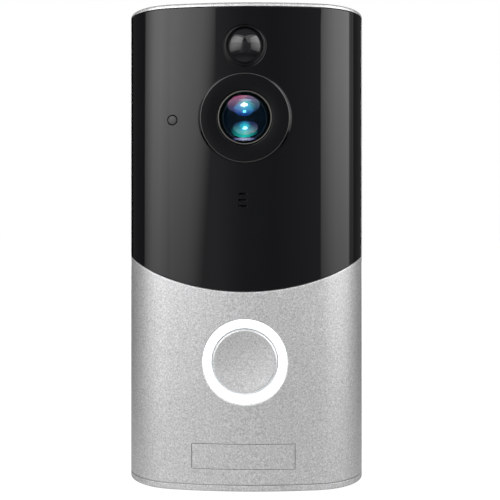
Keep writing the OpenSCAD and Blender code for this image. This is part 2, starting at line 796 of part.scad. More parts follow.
module wifi_antenna() {
  color([0.8, 0.7, 0.45]) union() {
    block(-9, 9, main_y - 4, main_y - 3.7, 57.4, 59.4);
    block(-9, -8.6, main_y - 4, main_y, 57.4, 59.4);
    block(-5, -4.6, main_y - 4, main_y, 57.4, 59.4);
  }
}

module link_flex() {
  color([0.55, 0.35, 0.1]) union() {
    pad(0, -3.5, 8, 27, -26.77, -26.65);
    pad(0, 8, 12, 4, -26.77, -26.65);
    pad(0, -15, 12, 4, -26.77, -26.65);
  }
}

// ---------------------------------------------------------------- button

module light_ring() {
  color([0.93, 0.95, 0.97]) difference() {
    union() {
      intersection() {
        bar(0, bell_z, front_y - 1, -29.2, ring_r, ring_r, fn_l);
        plan(0.1, -1, bell_z - 15, bell_z + 15);
      }
      bar(0, bell_z, -30, -29.2, 12.4, 12.4, fn_l);
    }
    bar(0, bell_z, front_y - 2, -20, ring_bore_r, ring_bore_r, fn_l);
    bar(0, bell_z, -31.3, -20, 9.75, 9.75, fn_l);
  }
}

module ring_reflector() {
  color([0.9, 0.9, 0.9]) difference() {
    bar(0, bell_z, -29.15, -27.85, 12.4, 12.4, fn_m);
    bar(0, bell_z, -30, -28.3, 11.9, 11.9, fn_m);
    bar(0, bell_z, -30, -27, 8.6, 8.6, fn_m);
    for (i = [0:ring_led_count - 1]) ring_place(i) pad(10.4, bell_z, 2, 2.6, -30, -27);
  }
}

// turns its child about the button's axis
module ring_place(i) {
  translate([0, 0, bell_z]) rotate([0, i * 360 / ring_led_count + 22.5, 0]) translate([0, 0, -bell_z])
    children();
}

module ring_leds() {
  color([0.95, 0.92, 0.75]) for (i = [0:ring_led_count - 1]) ring_place(i) difference() {
    pad(10.4, bell_z, 1.4, 2, -28.5, board_y);
    bar(10.4, bell_z, -29, -28.35, 0.5, 0.5, 16);
  }
}

// section of the cap as [radius, distance from the wall], from its back to the dished face
function cap_pts() =
  let (face = body_d - 0.2, rim = sqrt(dish * dish - dish_r * dish_r))
  concat(
    [[0, 30.32], [1.6, 30.32], [1.6, 30.4], [9.4, 30.4], [9.4, 31.2], [cap_r, 31.2],
      [cap_r, face - 0.35], [cap_r - 0.35, face]],
    [for (i = [dish_steps:-1:0])
      let (r = dish_r * i / dish_steps) [r, face + rim - sqrt(dish * dish - r * r)]]
  );

module button_cap() {
  color([0.72, 0.72, 0.73]) difference() {
    translate([0, 0, bell_z]) rotate([90, 0, 0]) rotate_extrude($fn = fn_l) polygon(cap_pts());
    // hollow behind the face, with a cross of ribs
    difference() {
      bar(0, bell_z, -31.4, -29, 7.6, 7.6, fn_m);
      bar(0, bell_z, -32, -28, 2.4, 2.4);
      pad(0, bell_z, 16, 1, -32, -28);
      pad(0, bell_z, 1, 16, -32, -28);
    }
  }
}

module button_board() {
  color([0.05, 0.25, 0.12]) difference() {
    block(-21.9, 21.9, board_y, board_y + board_t, -47, -13.2);
    for (sx = [-1, 1], i = [2, 3]) board_hole(sx * front_post_x, front_post_zs[i]);
  }
}

module switch_body() {
  color([0.1, 0.1, 0.1]) difference() {
    pad(0, bell_z, 6, 6, -29.3, board_y);
    bar(0, bell_z, -30, -28, 1.75, 1.75);
    for (sx = [-1, 1], sz = [-1, 1]) bar(sx * 2.3, bell_z + sz * 2.3, -30, -29.1, 0.35, 0.35, 16);
  }
}

module switch_plunger() {
  color([0.75, 0.55, 0.2]) union() {
    bar(0, bell_z, -30.25, -30.05, 1.5, 1.7);
    bar(0, bell_z, -30.05, -28.75, 1.7, 1.7);
  }
}

// ---------------------------------------------------------------- speaker

// prism with a rounded plan, lying in XY about the speaker's axis
module speaker_prism(w, d, z0, z1) {
  translate([0, speaker_y, z0]) linear_extrude(height = z1 - z0) rounded(w, d, d / 2 - 0.5);
}

module speaker_gasket() {
  color([0.1, 0.1, 0.1]) difference() {
    speaker_prism(28, 13.6, -60, -59.45);
    speaker_prism(24.5, 10.4, -61, -59);
  }
}

module speaker_frame() {
  color([0.12, 0.12, 0.12]) difference() {
    speaker_prism(28, 13.6, -59.4, -55.6);
    speaker_prism(25.6, 11.2, -60, -57.4);
    translate([0, speaker_y, -60]) cylinder(h = 8, r = 4.9, $fn = fn_m);
    for (sx = [-1, 1]) translate([sx * 9, speaker_y, -60]) cylinder(h = 8, r = 1.6, $fn = fn_s);
  }
}

module speaker_cone() {
  color([0.2, 0.2, 0.21]) difference() {
    union() {
      speaker_prism(25.2, 10.8, -59.2, -58.8);
      translate([0, speaker_y, -58.85]) cylinder(h = 0.7, r1 = 4.6, r2 = 3.6, $fn = fn_m);
      translate([0, speaker_y, -58.2]) cylinder(h = 0.9, r = 3.4, $fn = fn_m);
    }
    translate([0, speaker_y, -59.3]) cylinder(h = 0.9, r1 = 4.3, r2 = 3.2, $fn = fn_m);
    translate([0, speaker_y, -58.5]) cylinder(h = 2, r = 3.1, $fn = fn_m);
  }
}

module speaker_magnet() {
  color([0.6, 0.6, 0.62]) difference() {
    translate([0, speaker_y, -57.9]) cylinder(h = 3.4, r = 4.8, $fn = fn_m);
    translate([0, speaker_y, -58]) difference() {
      cylinder(h = 2, r = 3.8, $fn = fn_m);
      translate([0, 0, -1]) cylinder(h = 4, r = 2.7, $fn = fn_m);
    }
  }
}

// ---------------------------------------------------------------- battery

module battery_cells() {
  color([0.15, 0.3, 0.55]) for (sx = [-1, 1]) translate([sx * 9.4, -cell_d, cell_z]) difference() {
    union() {
      cylinder(h = cell_len, r = cell_r, $fn = fn_m);
      translate([0, 0, cell_len - eps]) cylinder(h = 1, r = 2.75, $fn = fn_s);
    }
    // crimp groove below the shoulder
    translate([0, 0, cell_len - 2.2]) difference() {
      cylinder(h = 0.8, r = cell_r + 1, $fn = fn_m);
      translate([0, 0, -1]) cylinder(h = 3, r = cell_r - 0.3, $fn = fn_m);
    }
  }
}

module battery_contacts() {
  color([0.75, 0.72, 0.6]) for (sx = [-1, 1]) {
    // stacked turns of the spring, drawn as one ribbed cone
    translate([sx * 9.4, -cell_d, 0]) rotate_extrude($fn = fn_m)
      polygon([[2, tub_low + 1.05], [6, tub_low + 1.05], [6, -52.3], [4.8, -52.1], [5.2, -51.9], [5.2, -51.5],
        [4.1, -51.3], [4.5, -51.1], [4.5, -50.7], [3.4, -50.5], [3.8, -50.3], [3.8, cell_z - eps],
        [2, cell_z - eps]]);
    pad_top(sx);
  }
}

// flat contact above one cell
module pad_top(sx) {
  difference() {
    block(sx * 9.4 - 5, sx * 9.4 + 5, -cell_d - 5, -cell_d + 5, cell_z + cell_len + 1, tub_top - tub_t - eps);
    translate([sx * 9.4, -cell_d, cell_z + cell_len + 1.3]) cylinder(h = 3, r = 3.6, $fn = fn_s);
  }
}

module battery_door() {
  color([0.16, 0.16, 0.17]) difference() {
    union() {
      block(-door_half, door_half, -6.7, rear_out - 0.1, door_pivot_z - 1, door_top);
      axle(-door_half, door_half, pivot_y, door_pivot_z, 1.3);
      axle(-20.8, 20.8, pivot_y, door_pivot_z, 1);
    }
    // finger notch and a shallow frame of grip lines
    pad(0, 14.6, 12, 4, -5.8, 0);
    for (i = [0:3]) pad(0, 10.4 - i * 1.6, 12, 0.6, -5.5, 0);
  }
}

// ---------------------------------------------------------------- service side

module usb_socket() {
  color([0.75, 0.75, 0.76]) union() {
    difference() {
      round_plate(usb_x, usb_z, 9, 3.3, 1.5, -11.6, -5.05);
      round_plate(usb_x, usb_z, 8.4, 2.7, 1.3, -10.8, -4);
    }
    pad(usb_x, usb_z, 6.6, 0.7, -11, -7.3);
  }
}

module usb_flap() {
  color([0.09, 0.09, 0.09]) union() {
    block(flap_x, -5.4, -4.9, -3.8, usb_z - 3.8, usb_z + 3.8);
    pad(usb_x, usb_z, 6.4, 1.6, -6.4, -4.85);
    translate([flap_x, flap_y, usb_z - 3.8]) cylinder(h = 7.6, r = 0.95, $fn = fn_s);
    translate([flap_x, flap_y, usb_z - 5.2]) cylinder(h = 10.4, r = 0.55, $fn = fn_s);
    // thumb lip
    block(-6.4, -5.4, -3.9, -3.2, usb_z - 2.5, usb_z + 2.5);
  }
}

module terminal_block() {
  color([0.1, 0.1, 0.1]) difference() {
    pad(0, terminal_z, 14, 8, main_y + board_t, rear_out - 0.1);
    for (sx = [-1, 1]) {
      bar(sx * 3.5, terminal_z, -9.5, 0, 1.25, 1.25);
      pad(sx * 3.5, terminal_z, 5.4, 9, -6.1, 0);
    }
  }
}

module terminal_screws() {
  color([0.78, 0.76, 0.7]) for (sx = [-1, 1]) screw(sx * 3.5, terminal_z, -9.2, -5.5, -3.6, 1.15, 2.4);
}

module reset_button() {
  color([0.85, 0.45, 0.1]) union() {
    bar(reset_x, usb_z, -8, -4.95, 1.95, 1.95);
    bar(reset_x, usb_z, -4.95, -4.75, 1.95, 1.75);
    bar(reset_x, usb_z, -7.8, -6.95, 3, 3);
  }
}

module reset_switch() {
  color([0.75, 0.75, 0.76]) union() {
    pad(reset_x, usb_z, 4.5, 4.5, main_y + board_t, -9.6);
    bar(reset_x, usb_z, -9.65, -8.65, 0.9, 1);
  }
}

// ---------------------------------------------------------------- output

wall_bracket();
security_screw();
rear_housing();
front_shell();
front_panel();
end_plate();
end_plate_screws();
name_plate();
case_gasket();
case_screws();
camera_window();
lens_trim_ring();
lens_retaining_ring();
lens_front_element();
lens_inner_element();
lens_barrel();
lens_holder();
ir_filter_frame();
ir_cut_glass();
image_sensor();
camera_board();
camera_screws();
light_baffle();
ir_led_board();
ir_leds();
pir_dome();
pir_bezel();
pir_sensor();
light_pipe();
light_sensor();
mic_boot();
mic_capsule();
sensor_board();
front_board_screws();
main_board();
main_board_screws();
main_chips();
rf_shield();
wifi_antenna();
link_flex();
light_ring();
ring_reflector();
ring_leds();
button_cap();
button_board();
switch_body();
switch_plunger();
speaker_frame();
speaker_cone();
speaker_magnet();
speaker_gasket();
battery_cells();
battery_contacts();
battery_door();
usb_socket();
usb_flap();
terminal_block();
terminal_screws();
reset_button();
reset_switch();
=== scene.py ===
"""Video doorbell: the looks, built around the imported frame. Lengths named in mm are in the row frame."""
import json
import math

import bmesh
import bpy
import numpy as np
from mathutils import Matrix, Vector, geometry


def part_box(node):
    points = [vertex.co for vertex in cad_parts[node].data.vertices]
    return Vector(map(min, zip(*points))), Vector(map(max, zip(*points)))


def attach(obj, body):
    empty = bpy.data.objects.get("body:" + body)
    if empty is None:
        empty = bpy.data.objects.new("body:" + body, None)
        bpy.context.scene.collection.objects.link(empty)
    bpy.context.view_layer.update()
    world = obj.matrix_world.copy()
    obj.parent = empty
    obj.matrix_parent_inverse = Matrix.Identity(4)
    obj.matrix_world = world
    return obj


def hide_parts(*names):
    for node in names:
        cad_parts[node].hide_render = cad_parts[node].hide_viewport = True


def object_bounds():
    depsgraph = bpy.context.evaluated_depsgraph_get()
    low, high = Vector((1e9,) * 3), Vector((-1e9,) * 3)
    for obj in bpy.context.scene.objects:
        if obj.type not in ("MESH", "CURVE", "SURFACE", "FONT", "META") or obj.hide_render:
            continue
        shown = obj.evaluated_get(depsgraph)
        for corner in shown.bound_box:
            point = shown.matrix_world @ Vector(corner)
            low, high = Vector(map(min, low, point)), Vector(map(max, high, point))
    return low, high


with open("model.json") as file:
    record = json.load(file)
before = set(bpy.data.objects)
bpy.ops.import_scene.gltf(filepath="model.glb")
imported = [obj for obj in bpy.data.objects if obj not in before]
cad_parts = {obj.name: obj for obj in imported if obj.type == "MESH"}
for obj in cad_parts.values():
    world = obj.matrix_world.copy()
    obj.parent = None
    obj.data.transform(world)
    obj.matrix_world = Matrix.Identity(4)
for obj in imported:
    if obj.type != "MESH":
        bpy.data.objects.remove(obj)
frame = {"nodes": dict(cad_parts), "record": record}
cad_low, cad_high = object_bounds()
NODES = frame["nodes"]
MM = 0.001

# ---------- sizes, in mm


def mm_box(node):
    """A CAD node's lowest and highest corners, in mm."""
    low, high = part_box(node)
    return [c / MM for c in low], [c / MM for c in high]


def mm_middle(node):
    low, high = mm_box(node)
    return [(a + b) / 2 for a, b in zip(low, high)]


SHELL_LOW, SHELL_HIGH = mm_box("front_shell")
PANEL_LOW, PANEL_HIGH = mm_box("front_panel")
HALF_W = SHELL_HIGH[0]
JOINT_Y = mm_box("end_plate")[1][1]
FRONT_Y = -33.0
FRONT_R = 110.0
CORNER_R = 15.0
CORNER_X = HALF_W - CORNER_R
FRONT_CY = FRONT_Y + FRONT_R
CORNER_CY = FRONT_CY - math.sqrt((FRONT_R - CORNER_R) ** 2 - CORNER_X**2)
MEET = math.asin(CORNER_X / (FRONT_R - CORNER_R))
S_MEET = FRONT_R * MEET
S_SIDE = S_MEET + CORNER_R * (math.pi / 2 - MEET)
S_BACK = S_SIDE + JOINT_Y - CORNER_CY

# ---------- outline


def outline(s, inset=0.0):
    """Point and outward direction of the plan outline at arc length s from the front's middle."""
    side = 1 if s >= 0 else -1
    s = abs(s)
    if s <= S_MEET:
        a = s / FRONT_R
        x, y = (FRONT_R - inset) * math.sin(a), FRONT_CY - (FRONT_R - inset) * math.cos(a)
        nx, ny = math.sin(a), -math.cos(a)
    elif s <= S_SIDE:
        a = MEET + (s - S_MEET) / CORNER_R
        x = CORNER_X + (CORNER_R - inset) * math.sin(a)
        y = CORNER_CY - (CORNER_R - inset) * math.cos(a)
        nx, ny = math.sin(a), -math.cos(a)
    else:
        x, y, nx, ny = HALF_W - inset, CORNER_CY + s - S_SIDE, 1.0, 0.0
    return side * x, y, side * nx, ny


def s_at_x(x):
    """Arc length at which the front of the outline is at x."""
    side = 1 if x >= 0 else -1
    x = abs(x)
    if x <= FRONT_R * math.sin(MEET):
        return side * FRONT_R * math.asin(x / FRONT_R)
    return side * (S_MEET + CORNER_R * (math.asin((x - CORNER_X) / CORNER_R) - MEET))


def skin_point(s, z, inset=0.0):
    x, y, _, _ = outline(s, inset)
    return Vector((x, y, z))


def skin_normal(s):
    _, _, nx, ny = outline(s)
    return Vector((nx, ny, 0))


def spread(a, b, step, keep_end=False):
    """Evenly spaced values from a towards b, about step apart, without b unless keep_end."""
    n = max(1, round(abs(b - a) / step))
    return [a + (b - a) * i / n for i in range(n + (1 if keep_end else 0))]


def ball_radius(r, rise):
    """Radius of the ball that a spherical cap r in radius and rise high belongs to."""
    return (r**2 + rise**2) / (2 * rise)


# ---------- places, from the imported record

CAM = mm_middle("lens_trim_ring")
PIR = mm_middle("pir_bezel")
LIGHT = mm_middle("light_pipe")
MIC = mm_middle("mic_boot")
BELL = mm_middle("light_ring")
PLATE_LOW, PLATE_HIGH = mm_box("end_plate")
NAME_LOW, NAME_HIGH = mm_box("name_plate")
WALL_T = 2.2
FLOOR_T = 1.75
TOP_ROUNDING = 1.05
# the dark panel, its seat in the shell, and the arc of its lower edge
PANEL_T = 1.15
SEAT_T = 1.2
SEAT_GAP = 0.12
ARC_R = 62.1
ARC_Z = PANEL_LOW[2] + ARC_R
PANEL_SIDE_Y = PANEL_HIGH[1]
EDGE_STEP = 0.8
PIR_HOLE_R = 5.4
LIGHT_HOLE_R = 1.35
SLOT_PITCH = 1.6
SLOT_HALF_LENGTH = 1.2
SLOT_HALF_WIDTH = 0.25
# the camera's boss, its bore and its domed cover
BOSS_R = 11.55
BOSS_SLOPE = 0.7
BOSS_Y = PANEL_LOW[1]
BOSS_FOOT = 2.4
BORE_R = 7.25
BORE_DEPTH = 3
BOSS_POINTS = 112
COVER_R = 6.5
COVER_RIM = BOSS_Y + 0.15
COVER_APEX = COVER_RIM - 0.9
COVER_BALL = ball_radius(COVER_R, COVER_RIM - COVER_APEX)
# radii between which the trim ring's front land is bright; off them the ring is painted near black as shade
TRIM_LAND = (6.74, 6.92)
# the call button's opening and the name plate's pocket
BELL_HOLE_R = 11.05
NAME_GAP = 0.13
NAME_R = 0.15
POCKET_DEPTH = 0.9
NAME_T = 0.85
# holes through the shell behind the panel: middle, radius and number of points
THROUGH = [(CAM, 12.0, 72), (PIR, 6.5, 48), (LIGHT, 1.9, 24), (MIC, 2.6, 24)]
# the end plate: its parting groove, then sound holes and screws in rows about one y
GROOVE_H = 0.14
GROOVE_DEPTH = 0.5
PLATE_Y = -18
HOLE_PITCH = 2.8
HOLE_R = 0.8
SCREW_X = 25
SCREW_HOLE_R = 1.1
# the shell's floor above it: a sound opening and the screws' pilot holes
SOUND_X = 11
SOUND_Y = (-22.6, -13.4)
PILOT_R = 0.8

# steps round an eased edge
RIM_STEPS = 5
# grids over filled areas: steps along the two directions, and the least distance from the area's rim
FRONT_GRID = (1.4, 4, 0.8)
SMALL_GRID = (1.5, 2, 0.8)
PANEL_BACK_GRID = (1.6, 6, 0.9)
INNER_GRID = (1.8, 6, 0.9)
CAP_GRID = (3, 3, 1.2)
JOINT_GRID = (6, 6, 1.0)
# a face takes a normal within the first angle of its own; a turned edge blunter than the second is smooth
NORMAL_REACH = math.cos(math.radians(40))
SMOOTH_TURN = math.cos(math.radians(32))

# ---------- mesh making


def linked(name, data):
    """A new object in the scene."""
    obj = bpy.data.objects.new(name, data)
    bpy.context.scene.collection.objects.link(obj)
    return obj


class Mesher:
    """Collects points in mm with the normals they may have, and faces, into one mesh."""

    def __init__(self):
        self.points, self.normals, self.faces = [], [], []

    def add(self, point, *normals):
        self.points.append(Vector(point))
        self.normals.append([Vector(n).normalized() for n in normals])
        return len(self.points) - 1

    def ring(self, items):
        """Adds (point, normal, ...) items and returns their numbers."""
        return [self.add(item[0], *item[1:]) for item in items]

    def strip(self, a, b):
        """Quads between two closed rows of as many points."""
        for i in range(len(a)):
            j = (i + 1) % len(a)
            self.faces.append((a[i], a[j], b[j], b[i]))

    def strips(self, rows):
        for a, b in zip(rows, rows[1:]):
            self.strip(a, b)

    def cover(self, loops, numbers, grid, place, normals):
        """Fills the area inside the first loop and outside the others; numbers are the loops' points."""
        points, rim, faces = fill(loops, *grid)
        numbers = list(numbers)
        for u, v in points[rim:]:
            numbers.append(self.add(place(u, v), *normals(u, v)))
        for face in faces:
            self.faces.append(tuple(numbers[i] for i in face))

    def build(self, name, body, slot, *replaced):
        mesh = bpy.data.meshes.new(name)
        mesh.from_pydata([p * MM for p in self.points], [], self.faces)
        obj = linked(name, mesh)
        turn_outwards(mesh)
        crisp_normals(mesh, self.normals)
        mesh.materials.append(MATERIALS[slot])
        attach(obj, body)
        if replaced:
            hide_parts(*replaced)
        return obj


def turn_outwards(mesh):
    """Turns all faces of a closed mesh outwards."""
    bm = bmesh.new()
    bm.from_mesh(mesh)
    bmesh.ops.recalc_face_normals(bm, faces=bm.faces)
    bm.to_mesh(mesh)
    bm.free()


def crisp_normals(mesh, candidates):
    """Gives each face corner the candidate closest to its face's normal, or that where none is close."""
    out = []
    for polygon in mesh.polygons:
        polygon.use_smooth = True
        flat = polygon.normal.copy()
        for i in polygon.loop_indices:
            best, score = flat, NORMAL_REACH
            for n in candidates[mesh.loops[i].vertex_index]:
                if n.dot(flat) > score:
                    best, score = n, n.dot(flat)
            out.append(tuple(best))
    mesh.normals_split_custom_set(out)


def inside(loops, points):
    """Even-odd test of many points against all loops together."""
    p = np.array([(q[0], q[1]) for q in points])
    odd = np.zeros(len(p), bool)
    for loop in loops:
        a = np.array([(q[0], q[1]) for q in loop])
        b = np.roll(a, -1, axis=0)
        for (u0, v0), (u1, v1) in zip(a, b):
            if v0 != v1:
                crosses = (v0 > p[:, 1]) != (v1 > p[:, 1])
                odd ^= crosses & (p[:, 0] < u0 + (p[:, 1] - v0) * (u1 - u0) / (v1 - v0))
    return odd


def fill(loops, step_u, step_v, clear):
    """Points and triangles over the area inside the first loop and outside the others."""
    rim, edges = [], []
    for loop in loops:
        base, n = len(rim), len(loop)
        rim += [Vector((p[0], p[1])) for p in loop]
        edges += [(base + i, base + (i + 1) % n) for i in range(n)]
    first = np.array([(p[0], p[1]) for p in loops[0]])
    low, high = first.min(axis=0), first.max(axis=0)
    grid = [
        (u, v)
        for u in spread(low[0], high[0], step_u)[1:]
        for v in spread(low[1], high[1], step_v)[1:]
    ]
    keep = []
    if grid:
        g = np.array(grid)
        r = np.array([(p[0], p[1]) for p in rim])
        near = np.array([((r - q) ** 2).sum(axis=1).min() for q in g]) < clear * clear
        odd = inside(loops, g)
        keep = [Vector(q) for q, n, o in zip(grid, near, odd) if o and not n]
    points = rim + keep
    verts, _, faces, origin, _, _ = geometry.delaunay_2d_cdt(points, edges, [], 0, 1e-6)
    middles = [sum((verts[i] for i in f), Vector((0, 0))) / len(f) for f in faces]
    odd = inside(loops, middles)
    return points, len(rim), [tuple(origin[i][0] for i in f) for f, o in zip(faces, odd) if o]


# ---------- loops on the skin, as (s, z)


def grown(loop, d):
    """A counterclockwise loop moved outwards by d, or by each point's own d."""
    n = len(loop)
    if isinstance(d, (int, float)):
        d = [d] * n
    out = []
    for i in range(n):
        a, b, c = (Vector(loop[(i + k) % n]) for k in (-1, 0, 1))
        u, v = (b - a).normalized(), (c - b).normalized()
        na, nb = Vector((u.y, -u.x)), Vector((v.y, -v.x))
        miter = na + nb
        out.append(tuple(b + miter * (d[i] / max(0.2, miter.dot(na)))))
    return out


def once_round(count):
    """Evenly spaced angles."""
    return [2 * math.pi * i / count for i in range(count)]


def circle(middle, r, count):
    """Counterclockwise round loop on the front, seen from the front."""
    x, _, z = middle
    return [(s_at_x(x + r * math.cos(a)), z + r * math.sin(a)) for a in once_round(count)]


def rectangle(x0, x1, z0, z1, r, step):
    """Counterclockwise loop with rounded corners."""
    arcs = []
    for cx, cz, start in [
        (x1 - r, z0 + r, -90), (x1 - r, z1 - r, 0), (x0 + r, z1 - r, 90), (x0 + r, z0 + r, 180),
    ]:
        arc = [math.radians(start + 90 * k / 4) for k in range(5)]
        arcs.append([(cx + r * math.cos(a), cz + r * math.sin(a)) for a in arc])
    out = []
    for arc, following in zip(arcs, arcs[1:] + arcs[:1]):
        (x, z), (end_x, end_z) = arc[-1], following[0]
        n = max(1, round(math.dist((x, z), (end_x, end_z)) / step))
        out += arc + [(x + (end_x - x) * k / n, z + (end_z - z) * k / n) for k in range(1, n)]
    return out


def skin_rectangle(x0, x1, z0, z1, r, step):
    return [(s_at_x(x), z) for x, z in rectangle(x0, x1, z0, z1, r, step)]


def rim(m, edge, sign, radius, depth):
    """Rounds a skin's edge off and takes it down to depth. sign is 1 for a hole, -1 for an outer edge."""
    if isinstance(radius, (int, float)):
        radius = [radius] * len(edge)
    flat = grown(edge, [sign * r for r in radius])
    rows = []
    for k in range(RIM_STEPS + 1):
        a = math.pi / 2 * k / RIM_STEPS
        items = []
        for (s0, z0), (s1, z1), r in zip(flat, edge, radius):
            s, z = s0 + (s1 - s0) * math.sin(a), z0 + (z1 - z0) * math.sin(a)
            across = (skin_point(s1, z1) - skin_point(s0, z0)).normalized()
            n = skin_normal(s) * math.cos(a) + across * math.sin(a)
            items.append((skin_point(s, z, r * (1 - math.cos(a))), n))
        rows.append(m.ring(items))
    items = []
    for (s0, z0), (s1, z1) in zip(flat, edge):
        across = skin_point(s1, z1) - skin_point(s0, z0)
        items.append((skin_point(s1, z1, depth), across, skin_normal(s1), -skin_normal(s1)))
    rows.append(m.ring(items))
    m.strips(rows)
    return flat, rows[0], rows[-1]


def walls(m, loop, upper, depth):
    """Takes a row of skin points straight down to depth."""
    items = []
    middle = sum((m.points[i] for i in upper), Vector()) / len(upper)
    for s, z in loop:
        p = skin_point(s, z, depth)
        across = middle - p
        across -= skin_normal(s) * across.dot(skin_normal(s))
        items.append((p, across, -skin_normal(s)))
    lower = m.ring(items)
    m.strip(upper, lower)
    return lower


def cover_skin(m, loops, numbers, grid, depth=0, facing=1):
    """Fills an area of the skin, or of its copy depth further in, facing out (1) or in (-1)."""
    m.cover(
        loops, numbers, grid, lambda s, z: skin_point(s, z, depth), lambda s, z: (skin_normal(s) * facing,),
    )


# ---------- turning


def rounded_section(corners, steps=4):
    """A closed section of (radius, y, rounding) corners as (radius, y) points."""
    out = []
    n = len(corners)
    for i, (r, y, rounding) in enumerate(corners):
        b = Vector((r, y))
        if not rounding:
            out.append(b)
            continue
        a, c = Vector(corners[i - 1][:2]), Vector(corners[(i + 1) % n][:2])
        u, v = (a - b).normalized(), (c - b).normalized()
        half = math.acos(max(-1, min(1, u.dot(v)))) / 2
        run = rounding / math.tan(half)
        run = min(run, (a - b).length * 0.49, (c - b).length * 0.49)
        real = run * math.tan(half)
        hub = b + (u + v).normalized() * (real / math.sin(half))
        p, q = b + u * run - hub, b + v * run - hub
        turn = math.atan2(p.x * q.y - p.y * q.x, p.dot(q))
        for k in range(steps + 1):
            t = turn * k / steps
            c, s = math.cos(t), math.sin(t)
            out.append(hub + Vector((p.x * c - p.y * s, p.x * s + p.y * c)))
    return out


def bow(x, follow):
    """How far the front's curve has fallen back at x, and its slope there, both times follow."""
    across = math.sqrt(FRONT_R**2 - x**2)
    return (FRONT_CY - across - FRONT_Y) * follow, x / across * follow


def lathe(m, middle, section, count, drape=None):
    """Turns a closed section of (radius, y) about the axis along Y through middle.
    drape is (y0, y1): a point at y0 follows the body's curve across the front, one at y1 stays level.
    """
    x, _, z = middle
    n = len(section)
    area = sum(a[0] * b[1] - b[0] * a[1] for a, b in zip(section, section[1:] + section[:1]))
    side = 1 if area > 0 else -1
    rows = []
    for i in range(n):
        a, b, c = (Vector(section[(i + k) % n]) for k in (-1, 0, 1))
        before, after = (b - a).normalized(), (c - b).normalized()
        flats = [Vector((t.y, -t.x)) * side for t in (before, after)]
        if flats[0].dot(flats[1]) > SMOOTH_TURN:
            flats = [(flats[0] + flats[1]).normalized()]
        follow = min(1, max(0, (drape[1] - b.y) / (drape[1] - drape[0]))) if drape else 0
        if b.x < 1e-6:
            back, slope = bow(x, follow)
            rows.append([m.add((x, b.y + back, z), *[(-slope * f.y, f.y, 0) for f in flats])])
            continue
        items = []
        for t in once_round(count):
            around = Vector((math.cos(t), 0, math.sin(t)))
            back, slope = bow(x + b.x * around.x, follow)
            normals = [Vector((around.x * f.x - slope * f.y, f.y, around.z * f.x)) for f in flats]
            items.append((Vector((x, b.y + back, z)) + around * b.x, *normals))
        rows.append(m.ring(items))
    for i in range(n):
        a, b = rows[i], rows[(i + 1) % n]
        if len(a) == len(b) == count:
            m.strip(a, b)
        elif len(a) != len(b):
            hub, ring = (a[0], b) if len(a) == 1 else (b[0], a)
            m.faces += [(ring[k], ring[(k + 1) % count], hub) for k in range(count)]


# ---------- materials


def new_material(name):
    material = bpy.data.materials.new(name)
    material.use_nodes = True
    tree = material.node_tree
    return material, tree, tree.nodes["Principled BSDF"]


def add(tree, kind, settings=None, **inputs):
    """Adds a node. settings are its own properties, inputs its unlinked sockets or what feeds them."""
    n = tree.nodes.new(kind)
    for key, value in (settings or {}).items():
        setattr(n, key, value)
    for key, value in inputs.items():
        socket = n.inputs[int(key[1:])] if key[0] == "_" else n.inputs[key]
        if isinstance(value, bpy.types.NodeSocket):
            tree.links.new(value, socket)
        else:
            socket.default_value = value
    return n


def noise(tree, scale, detail=2.0, rough=0.5):
    """Noise over the object's own coordinates in metres."""
    place = add(tree, "ShaderNodeTexCoord").outputs["Object"]
    return add(
        tree, "ShaderNodeTexNoise", Vector=place, Scale=scale, Detail=detail, Roughness=rough
    ).outputs["Fac"]


def ramp(tree, source, stops):
    """Colour ramp over a value: stops are (place, colour or grey)."""
    r = tree.nodes.new("ShaderNodeValToRGB")
    elements = r.color_ramp.elements
    while len(elements) < len(stops):
        elements.new(0.5)
    for e, (place, colour) in zip(elements, stops):
        e.position = place
        e.color = (colour, colour, colour, 1) if isinstance(colour, float) else (*colour, 1)
    tree.links.new(source, r.inputs["Fac"])
    return r.outputs["Color"]


def feed(tree, shader, name, source, stops):
    """Drives a shader's socket with a colour ramp over source."""
    tree.links.new(ramp(tree, source, stops), shader.inputs[name])


def maths(tree, operation, *values):
    """What a Math node makes of values or sockets."""
    inputs = {f"_{i}": value for i, value in enumerate(values)}
    return add(tree, "ShaderNodeMath", {"operation": operation}, **inputs).outputs[0]


def blend(tree, factor, a, b, kind="MIX"):
    """Colour a mixed with, or multiplied by, colour b."""
    settings = {"data_type": "RGBA", "blend_type": kind}
    return add(tree, "ShaderNodeMix", settings, _0=factor, _6=a, _7=b).outputs[2]


def mottle(tree, shader, name, source, low, high):
    """Drives a shader's socket from low to high over the middle of a noise."""
    feed(tree, shader, name, source, [(0.3, low), (0.7, high)])


def bump(tree, shader, height, mm):
    b = add(tree, "ShaderNodeBump", Height=height, Distance=mm * MM)
    tree.links.new(b.outputs["Normal"], shader.inputs["Normal"])


